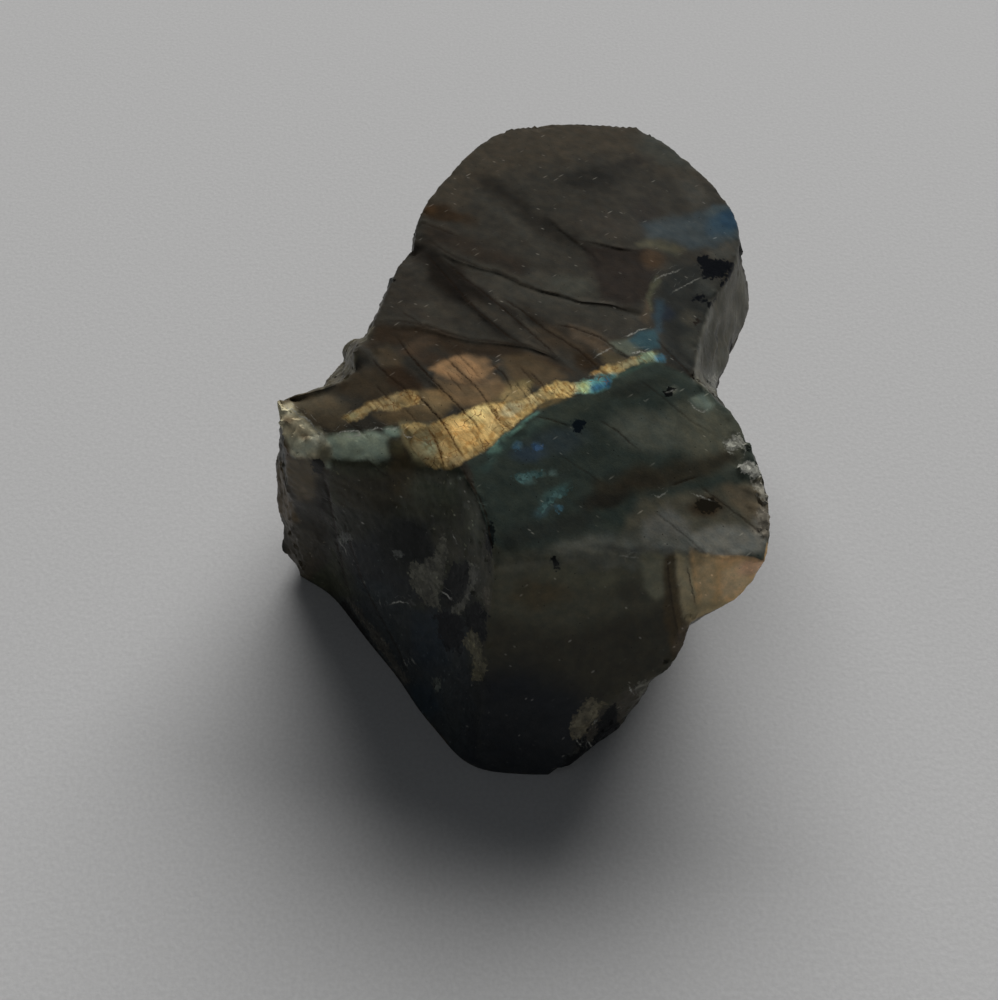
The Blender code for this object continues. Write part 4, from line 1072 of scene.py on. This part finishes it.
def softened(points, ends, angle, normals):
    """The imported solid's facets evened out, its edges slightly rounded, its top ledges low."""
    on_top = normals[ends][:, :, 2].mean(axis=1) > TOP_UP
    crease = np.abs(angle) > np.where(on_top, TOP_CREASE, WALL_CREASE)
    held = relax(points, ends, crease, RELAX_ROUNDS)
    loose = relax(points, ends, crease & ~on_top, LEDGE_ROUNDS)
    points = laid(held, loose, LEDGE_SOFTNESS * smoothstep(*LEDGE_BLEND, normals[:, 2]))
    no_crease = np.zeros(len(ends), bool)
    rounded = relax(points, ends, no_crease, ROUNDING_ROUNDS)
    worn = relax(points, ends, no_crease, WORN_ROUNDS)
    px = to_pixels(points)
    from_worn = np.min([line_distance(px, line)[0] for line in WORN_EDGES], axis=0)
    near = smoothstep(WORN_REACH_PX, 0.3 * WORN_REACH_PX, from_worn)
    near *= smoothstep(*WORN_FACING, facing(points, normals))
    upright = points[:, 2:] > BASE_HELD
    return np.where(upright, laid(rounded, worn, near), points)


def broken_relief(points, px, normals, seen, rim):
    """(height of the stone's own roughness at each point, how far it is on the left slope)."""
    top = smoothstep(*TOP_BLEND, normals[:, 2])
    front = smoothstep(*FRONT_BLEND, -normals[:, 1]) * (1.0 - top)
    crystals = area_mask(px, 4, CRYSTALS) * seen
    left_slope = area_mask(px, 6, LEFT_SLOPE) * seen
    shoulder = area_mask(px, 8, SHOULDER) * seen
    chips = sum(area_mask(px, 3, outline) for outline in CHIPPED) * seen
    lump = area_mask(px, 3, LUMP)
    from_lump_top = np.linalg.norm(px - LUMP_TOP, axis=1)

    hackle = (1.0 - top) * (1.0 - FRONT_CALM * front)
    hackle *= (1.0 - SHOULDER_CALM * shoulder) * (1.0 - RIM_CALM * rim)
    hackle += CRYSTALS_ROUGH * crystals + SLOPE_ROUGH * left_slope + CHIPS_ROUGH * chips
    hackle *= (1.0 - LUMP_CALM * lump) * (1.0 + UNSEEN_ROUGH * (1.0 - seen))

    relief = grain(points, *SWELLS) + grain(points, *SKIN)
    relief += hackle * (facets(points, *HACKLE) + facets(points, *FINE_HACKLE))
    relief += chips * facets(points, *CHIP_FACETS)
    relief += lump * (grain(points, *LUMP_GRAIN)
                      + LUMP_SWELL * smoothstep(*LUMP_SWELL_PX, from_lump_top))
    flakes = points * np.array(FLAKE_STRETCH)
    relief += left_slope * (facets(flakes, *SLOPE_FLAKES) + grain(flakes, *SLOPE_GRAIN))
    nicks = np.maximum(facets(points, *RIM_NICKS), 0.0) + grain(points, *RIM_GRAIN)
    return relief - nicks * rim, left_slope


def near_edges(points, edge_middles, reach):
    tree = KDTree(len(edge_middles))
    for i, middle in enumerate(edge_middles):
        tree.insert(middle, i)
    tree.balance()
    return bell(np.array([tree.find(p)[2] for p in points]), reach)


def dress(bm):
    """Relief and colour of the whole stone, as points and the layers of colour on them."""
    points, ends = points_and_ends(bm)
    tris = np.array([[v.index for v in f.verts] for f in bm.faces])
    angle = np.array([e.calc_face_angle_signed(0.0) for e in bm.edges])
    normals = vertex_normals(points, tris)
    outer = (angle > OUTER_EDGE) & (normals[ends][:, :, 2].min(axis=1) < OUTER_EDGE_UP)
    points = softened(points, ends, angle, normals)
    normals = vertex_normals(points, tris)
    px = to_pixels(points)
    square_on = facing(points, normals)
    lump_seen = area_mask(px, 3, LUMP) * smoothstep(*LUMP_SEEN_BLEND, square_on)
    seen = np.maximum(smoothstep(*SEEN_BLEND, square_on), lump_seen)
    unseen = 1.0 - seen

    wobble = np.stack([sum(grain(points, *wave) for wave in waves) for waves in WOBBLES], axis=1)
    from_crack, crack_dark = nearest_line(px, CRACK_LINES, LINE_REACH_PX)
    from_scratch_and_highlight, scratch_and_highlight = nearest_line(px, WHITE_SCRATCHES_AND_HIGHLIGHTS, LINE_REACH_PX)
    light = crack_shade(px)[:, None]
    tone = paint(np.tile(rgb(ASH), (len(points), 1)), px, wobble, MARKINGS)
    front = paint(tone.copy(), px, wobble, FRONT_MARKINGS)
    upward = normals[:, 2] + BEVEL_LIFT * area_mask(px, 5, BEVEL)
    tone = laid(tone, front, smoothstep(*TURNED_DOWN, upward)) * light
    tone = laid(tone, plain_stone(points), unseen)
    flash = paint(np.tile(rgb(PAINTED_GOLD_FLASH), (len(points), 1)), px, wobble, FLASH_MARKINGS) * light
    flash_share, _ = edge_share(px, FLASH_OUTLINES)

    rim = near_edges(points, points[ends[outer]].mean(axis=1), RIM_REACH)
    relief, left_slope = broken_relief(points, px, normals, seen, rim)
    relief -= CRACK_DEPTH * crack_dark * seen * bell(from_crack, CRACK_WIDTH_PX)
    relief *= smoothstep(*BASE_BLEND, points[:, 2])
    low, high = (np.array(corner) / MM for corner in cad_box)
    dressed = np.clip(points + normals * relief[:, None], low, high)

    rough_skin = np.maximum(left_slope, unseen)
    whole = np.ones(len(points))
    crack_share = 0.5 + 0.5 * from_crack / LINE_REACH_PX
    scratch_and_highlight_share = 0.5 + 0.5 * from_scratch_and_highlight / LINE_REACH_PX
    layers = {
        "tone": np.column_stack((tone, whole)),
        "flash": np.column_stack((flash, flash_share * seen)),
        "dark": patches(dressed, px, seen, DARK_PATCHES, DARK_CLOUDS, DARK_LEVEL, PLAIN_DARK),
        "pale": patches(dressed, px, seen, PALE_PATCHES, PALE_CLOUDS, PALE_LEVEL, PLAIN_PALE),
        "cracks": np.column_stack((crack_share, crack_dark * seen, rough_skin, whole)),
        "scratches_and_highlights": np.column_stack((scratch_and_highlight_share, scratch_and_highlight * seen, whole, whole)),
    }
    return dressed, layers


def placed(name, data):
    """A new object in the scene."""
    made = bpy.data.objects.new(name, data)
    bpy.context.scene.collection.objects.link(made)
    return made


def build_stone():
    bm = refine(packed_mesh())
    points, layers = dress(bm)
    for vertex, place in zip(bm.verts, points * MM):
        vertex.co = place
    bm.normal_update()
    for edge in bm.edges:
        edge.smooth = abs(edge.calc_face_angle_signed(0.0)) < SHARP
    for face in bm.faces:
        face.smooth = True
    mesh = bpy.data.meshes.new("dressed_chunk")
    bm.to_mesh(mesh)
    bm.free()
    for name, values in layers.items():
        layer = mesh.attributes.new(name, "FLOAT_COLOR", "POINT")
        layer.data.foreach_set("color", np.clip(values, 0.0, 1.0).astype(np.float32).ravel())
    return placed("dressed_chunk", mesh)


class Nodes:
    """Short calls for building a material's nodes, in the object's own millimetres."""

    def __init__(self, material):
        material.use_nodes = True
        self.tree = material.node_tree
        self.shader = self.tree.nodes["Principled BSDF"]
        self.raw_place = self.add("ShaderNodeTexCoord").outputs["Object"]
        self.place = self.stretch((1.0, 1.0, 1.0))

    def add(self, kind, *inputs, **settings):
        """A node with these settings, and with inputs given as pairs of a socket and a value."""
        node = self.tree.nodes.new(kind)
        for name, value in settings.items():
            setattr(node, name, value)
        for socket, value in inputs:
            self.feed(node.inputs[socket], value)
        return node

    def feed(self, socket, value):
        if hasattr(value, "is_linked"):
            self.tree.links.new(value, socket)
        else:
            socket.default_value = value

    def attribute(self, name):
        """(colour, alpha) written on the mesh under this name."""
        node = self.add("ShaderNodeAttribute", attribute_name=name)
        return node.outputs["Color"], node.outputs["Alpha"]

    def stretch(self, scale, vector=None):
        """Places in millimetres, scaled per axis."""
        scaled = [value / MM for value in scale]
        inputs = (0, vector or self.raw_place), (1, scaled)
        return self.add("ShaderNodeVectorMath", *inputs, operation="MULTIPLY").outputs[0]

    def turned(self, angle, scale):
        """Places in millimetres, turned about Z by degrees and then scaled per axis."""
        inputs = ("Vector", self.raw_place), ("Angle", math.radians(angle))
        turn = self.add("ShaderNodeVectorRotate", *inputs, rotation_type="Z_AXIS")
        return self.stretch(scale, turn.outputs[0])

    def shaken(self, amount):
        """Places in millimetres, moved about by noise."""
        by = self.add("ShaderNodeTexNoise", ("Vector", self.place), ("Scale", 1.4))
        inputs = (0, by.outputs["Color"]), (1, (amount, amount, amount)), (2, self.place)
        return self.add("ShaderNodeVectorMath", *inputs, operation="MULTIPLY_ADD").outputs[0]

    def split(self, colour):
        return list(self.add("ShaderNodeSeparateColor", (0, colour)).outputs)

    def noise(self, scale, detail, vector=None):
        """Noise of this many features per millimetre."""
        inputs = ("Vector", vector or self.place), ("Scale", scale), ("Detail", detail)
        return self.add("ShaderNodeTexNoise", *inputs).outputs["Fac"]

    def cells(self, scale, vector=None, feature="F1"):
        """Random cells, this many per millimetre, with their distances and colours."""
        inputs = ("Vector", vector or self.place), ("Scale", scale)
        return self.add("ShaderNodeTexVoronoi", *inputs, feature=feature).outputs

    def remap(self, value, low, high, to_low, to_high):
        inputs = enumerate((value, low, high, to_low, to_high))
        return self.add("ShaderNodeMapRange", *inputs, interpolation_type="SMOOTHSTEP").outputs[0]

    def math(self, operation, first, second):
        return self.add("ShaderNodeMath", (0, first), (1, second), operation=operation).outputs[0]

    def times(self, first, second):
        return self.math("MULTIPLY", first, second)

    def mix(self, share, first, second, blend="MIX"):
        inputs = ("Factor", share), (6, first), (7, second)
        return self.add("ShaderNodeMix", *inputs, data_type="RGBA", blend_type=blend).outputs[2]

    def tint(self, first, second):
        return self.mix(1.0, first, second, "MULTIPLY")

    def bump(self, height, strength, distance):
        inputs = ("Strength", strength), ("Distance", distance * MM), ("Height", height)
        return self.add("ShaderNodeBump", *inputs).outputs["Normal"]


def stone_material():
    material = bpy.data.materials.new("labradorite")
    nodes = Nodes(material)
    tone, _ = nodes.attribute("tone")
    flash, flash_share = nodes.attribute("flash")
    dark, dark_share = nodes.attribute("dark")
    pale, pale_share = nodes.attribute("pale")
    from_crack, crack_dark, rough_skin = nodes.split(nodes.attribute("cracks")[0])
    from_scratch_and_highlight, scratch_and_highlight, _ = nodes.split(nodes.attribute("scratches_and_highlights")[0])

    # Clouds, grit, the raggedness of sharp patches, the waver of thin lines, a slanting mottle
    # of warm and cool, and the rough skin's fibres.
    clouds = nodes.noise(0.7, 4.0)
    grit = nodes.noise(4.5, 3.0)
    ragged = nodes.noise(2.4, 5.0)
    waving = nodes.noise(1.5, 3.0)
    mottle = nodes.noise(1.1, 5.0, nodes.turned(MOTTLE_TURN, (0.6, 1.1, 1.0)))
    fibres = nodes.noise(2.4, 4.0, nodes.stretch((1.0, 0.5, 0.5)))

    def sharp(share, shape, wave, width):
        """A patch's mask, with its edge moved by the noise given."""
        moved = nodes.math("ADD", share, nodes.remap(shape, 0.25, 0.75, -wave, wave))
        return nodes.remap(moved, 0.5 - width, 0.5 + width, 0.0, 1.0)

    def drawn(share, strength, half_width, least):
        """A thin wavering line from its signed distance."""
        wiggle = nodes.remap(waving, 0.25, 0.75, -0.06, 0.06)
        off = nodes.math("ADD", nodes.math("SUBTRACT", share, 0.5), wiggle)
        line = nodes.remap(nodes.math("ABSOLUTE", off, 0.0), 0.02, half_width, 1.0, 0.0)
        patchy = nodes.remap(grit, 0.38, 0.6, least, 1.1)
        return nodes.times(nodes.times(line, strength), patchy)

    # The bright band, the flash painted as a reflection: cleavage blocks and streaks of unequal
    # brightness, crazed with brown.
    blocks = nodes.cells(0.55, nodes.turned(CLEAVAGE_TURN, (0.45, 1.3, 1.0)))
    block, _, _ = nodes.split(blocks["Color"])
    streak = nodes.noise(1.6, 4.0, nodes.turned(CLEAVAGE_TURN, (0.30, 1.8, 1.0)))
    streaks = nodes.remap(streak, 0.32, 0.68, 0.78, 1.20)
    bright = nodes.tint(flash, nodes.times(nodes.remap(block, 0.0, 1.0, 0.72, 1.18), streaks))
    rusted = nodes.remap(nodes.noise(1.3, 5.0), 0.45, 0.68, 0.0, 0.65)
    bright = nodes.tint(bright, nodes.mix(rusted, WHITE, RUST_TINT))
    net = nodes.cells(0.9, nodes.shaken(0.45), "DISTANCE_TO_EDGE")["Distance"]
    crazed = nodes.remap(clouds, 0.5, 0.6, 0.0, 1.0)
    crazing = nodes.times(nodes.remap(net, 0.0, 0.06, 0.9, 0.0), crazed)
    bright = nodes.mix(crazing, bright, CRAZE_BROWN)
    in_flash = sharp(flash_share, waving, 0.07, 0.15)
    colour = nodes.mix(in_flash, tone, bright)

    # The whole skin's unevenness, then the black minerals, the pale crusts and the cracks.
    level = nodes.times(nodes.remap(clouds, 0.3, 0.7, 0.88, 1.12),
                        nodes.remap(grit, 0.3, 0.7, 0.94, 1.06))
    warmth = nodes.mix(nodes.remap(mottle, 0.32, 0.68, 0.0, 1.0), COOL_TINT, WARM_TINT)
    colour = nodes.tint(colour, warmth)
    fibred = nodes.times(level, nodes.remap(fibres, 0.35, 0.65, 0.90, 1.10))
    colour = nodes.tint(colour, nodes.mix(rough_skin, level, fibred))
    # Holes among the dark patches are painted black as painted shade.
    dark_mask = sharp(dark_share, ragged, 0.16, 0.07)
    colour = nodes.mix(dark_mask, colour, dark)
    # Some pale patches are blue and teal flash, painted reflections.
    pale_mask = sharp(pale_share, ragged, 0.17, 0.08)
    crumb, _, _ = nodes.split(nodes.cells(2.6, nodes.shaken(0.3))["Color"])
    crumbs = nodes.times(nodes.remap(crumb, 0.0, 1.0, 0.66, 1.34),
                         nodes.remap(clouds, 0.3, 0.7, 0.7, 1.3))
    colour = nodes.mix(pale_mask, colour, nodes.tint(pale, crumbs))
    crack_colour = nodes.mix(in_flash, CRACK_BLACK, CRACK_RUST)
    colour = nodes.mix(drawn(from_crack, crack_dark, 0.13, 0.45), colour, crack_colour)

    # Painted glints: small flakes painted lighter than the rough skin round them, as if they caught
    # more light.
    flake_glint = nodes.cells(1.15, nodes.shaken(0.9))["Distance"]
    flake_glint = nodes.times(nodes.remap(flake_glint, 0.12, 0.22, 0.85, 0.0),
                        nodes.remap(nodes.noise(0.5, 2.0), 0.45, 0.62, 0.0, 1.0))
    glinting_flakes = nodes.tint(colour, FLAKE_GLINT_TINT)
    colour = nodes.mix(nodes.times(flake_glint, rough_skin), colour, glinting_flakes)

    # Short scratches painted lighter as painted glints, edges painted white as painted highlights
    # and white scratches, and pits painted black as painted shade.
    rising = nodes.cells(0.62, nodes.turned(SCRATCH_GLINT_TURNS[0], (0.40, 1.9, 1.0)))["Distance"]
    falling = nodes.cells(0.70, nodes.turned(SCRATCH_GLINT_TURNS[1], (0.60, 1.7, 1.0)))["Distance"]
    scratch_glint = nodes.remap(nodes.math("MINIMUM", rising, falling), 0.04, 0.13, 1.0, 0.0)
    glint_marks = nodes.times(scratch_glint, nodes.remap(nodes.noise(0.45, 3.0), 0.46, 0.62, 0.12, 1.0))
    glint_marks = nodes.times(glint_marks, nodes.math("SUBTRACT", 1.0, dark_mask))
    lighter = nodes.mix(1.0, nodes.tint(colour, SCRATCH_GLINT_TINT), SCRATCH_GLINT_GREY, "ADD")
    colour = nodes.mix(glint_marks, colour, lighter)
    scratch_and_highlight_line = drawn(from_scratch_and_highlight, scratch_and_highlight, 0.10, 0.25)
    colour = nodes.mix(scratch_and_highlight_line, colour, SCRATCH_AND_HIGHLIGHT_WHITE)
    shaded_pits = nodes.remap(nodes.cells(0.95)["Distance"], 0.04, 0.08, 0.8, 0.0)
    colour = nodes.mix(shaded_pits, colour, PIT_SHADE_BLACK)

    shiny_lines = nodes.math("MAXIMUM", scratch_and_highlight_line, glint_marks)
    inputs = nodes.shader.inputs
    nodes.feed(inputs["Base Color"], colour)
    nodes.feed(inputs["Roughness"], nodes.remap(grit, 0.3, 0.7, 0.36, 0.52))
    nodes.feed(inputs["Coat Weight"], nodes.math("MAXIMUM", shiny_lines, nodes.times(pale_mask, 0.2)))
    nodes.feed(inputs["Coat Roughness"], 0.18)
    nodes.feed(inputs["Specular IOR Level"], 0.15)
    nodes.feed(inputs["Normal"], nodes.bump(grit, 0.15, 0.10))
    return material


def build_floor():
    reach = FLOOR_REACH
    mesh = bpy.data.meshes.new("floor")
    mesh.from_pydata([(-reach, -reach, 0), (reach, -reach, 0), (reach, reach, 0), (-reach, reach, 0)],
                     [], [(0, 1, 2, 3)])
    floor = placed("floor", mesh)
    material = bpy.data.materials.new("paper")
    nodes = Nodes(material)
    grey = nodes.remap(nodes.noise(2.2, 4.0), 0.3, 0.7, 0.0, 1.0)
    nodes.feed(nodes.shader.inputs["Base Color"], nodes.mix(grey, *PAPER_GREYS))
    nodes.feed(nodes.shader.inputs["Roughness"], 0.9)
    nodes.feed(nodes.shader.inputs["Normal"], nodes.bump(nodes.noise(1.6, 4.0), 0.25, 0.10))
    mesh.materials.append(material)


def build_camera():
    lens = bpy.data.cameras.new("camera")
    lens.lens = LENS
    lens.sensor_width = SENSOR
    lens.sensor_height = SENSOR
    lens.sensor_fit = "VERTICAL"
    lens.clip_start = 0.01
    camera = placed("camera", lens)
    camera.location = camera_place() * MM
    camera.rotation_euler = (math.radians(90.0) - ELEVATION, 0.0, 0.0)
    bpy.context.scene.camera = camera


def area_light(name, place, size, power, colour):
    light = bpy.data.lights.new(name, "AREA")
    light.shape = "RECTANGLE"
    light.size, light.size_y = size
    light.energy = power
    light.color = colour
    lamp = placed(name, light)
    lamp.location = place
    aim = Vector(LIGHT_AIM) - Vector(place)
    lamp.rotation_euler = aim.to_track_quat("-Z", "Y").to_euler()
    return lamp


def build_light():
    """A broad low window behind the stone, a dim room in front of it, and little sky."""
    area_light("window", *WINDOW).visible_glossy = False
    area_light("glint", *GLINT).visible_diffuse = False
    area_light("room", *ROOM)
    world = bpy.data.worlds.new("studio")
    world.use_nodes = True
    background = world.node_tree.nodes["Background"]
    background.inputs["Color"].default_value = SKY
    background.inputs["Strength"].default_value = SKY_STRENGTH
    bpy.context.scene.world = world
    bpy.context.scene.view_settings.view_transform = "Standard"


stone = build_stone()
stone.data.materials.append(stone_material())
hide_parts(NODE)
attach(stone, "root")
build_floor()
build_light()
build_camera()
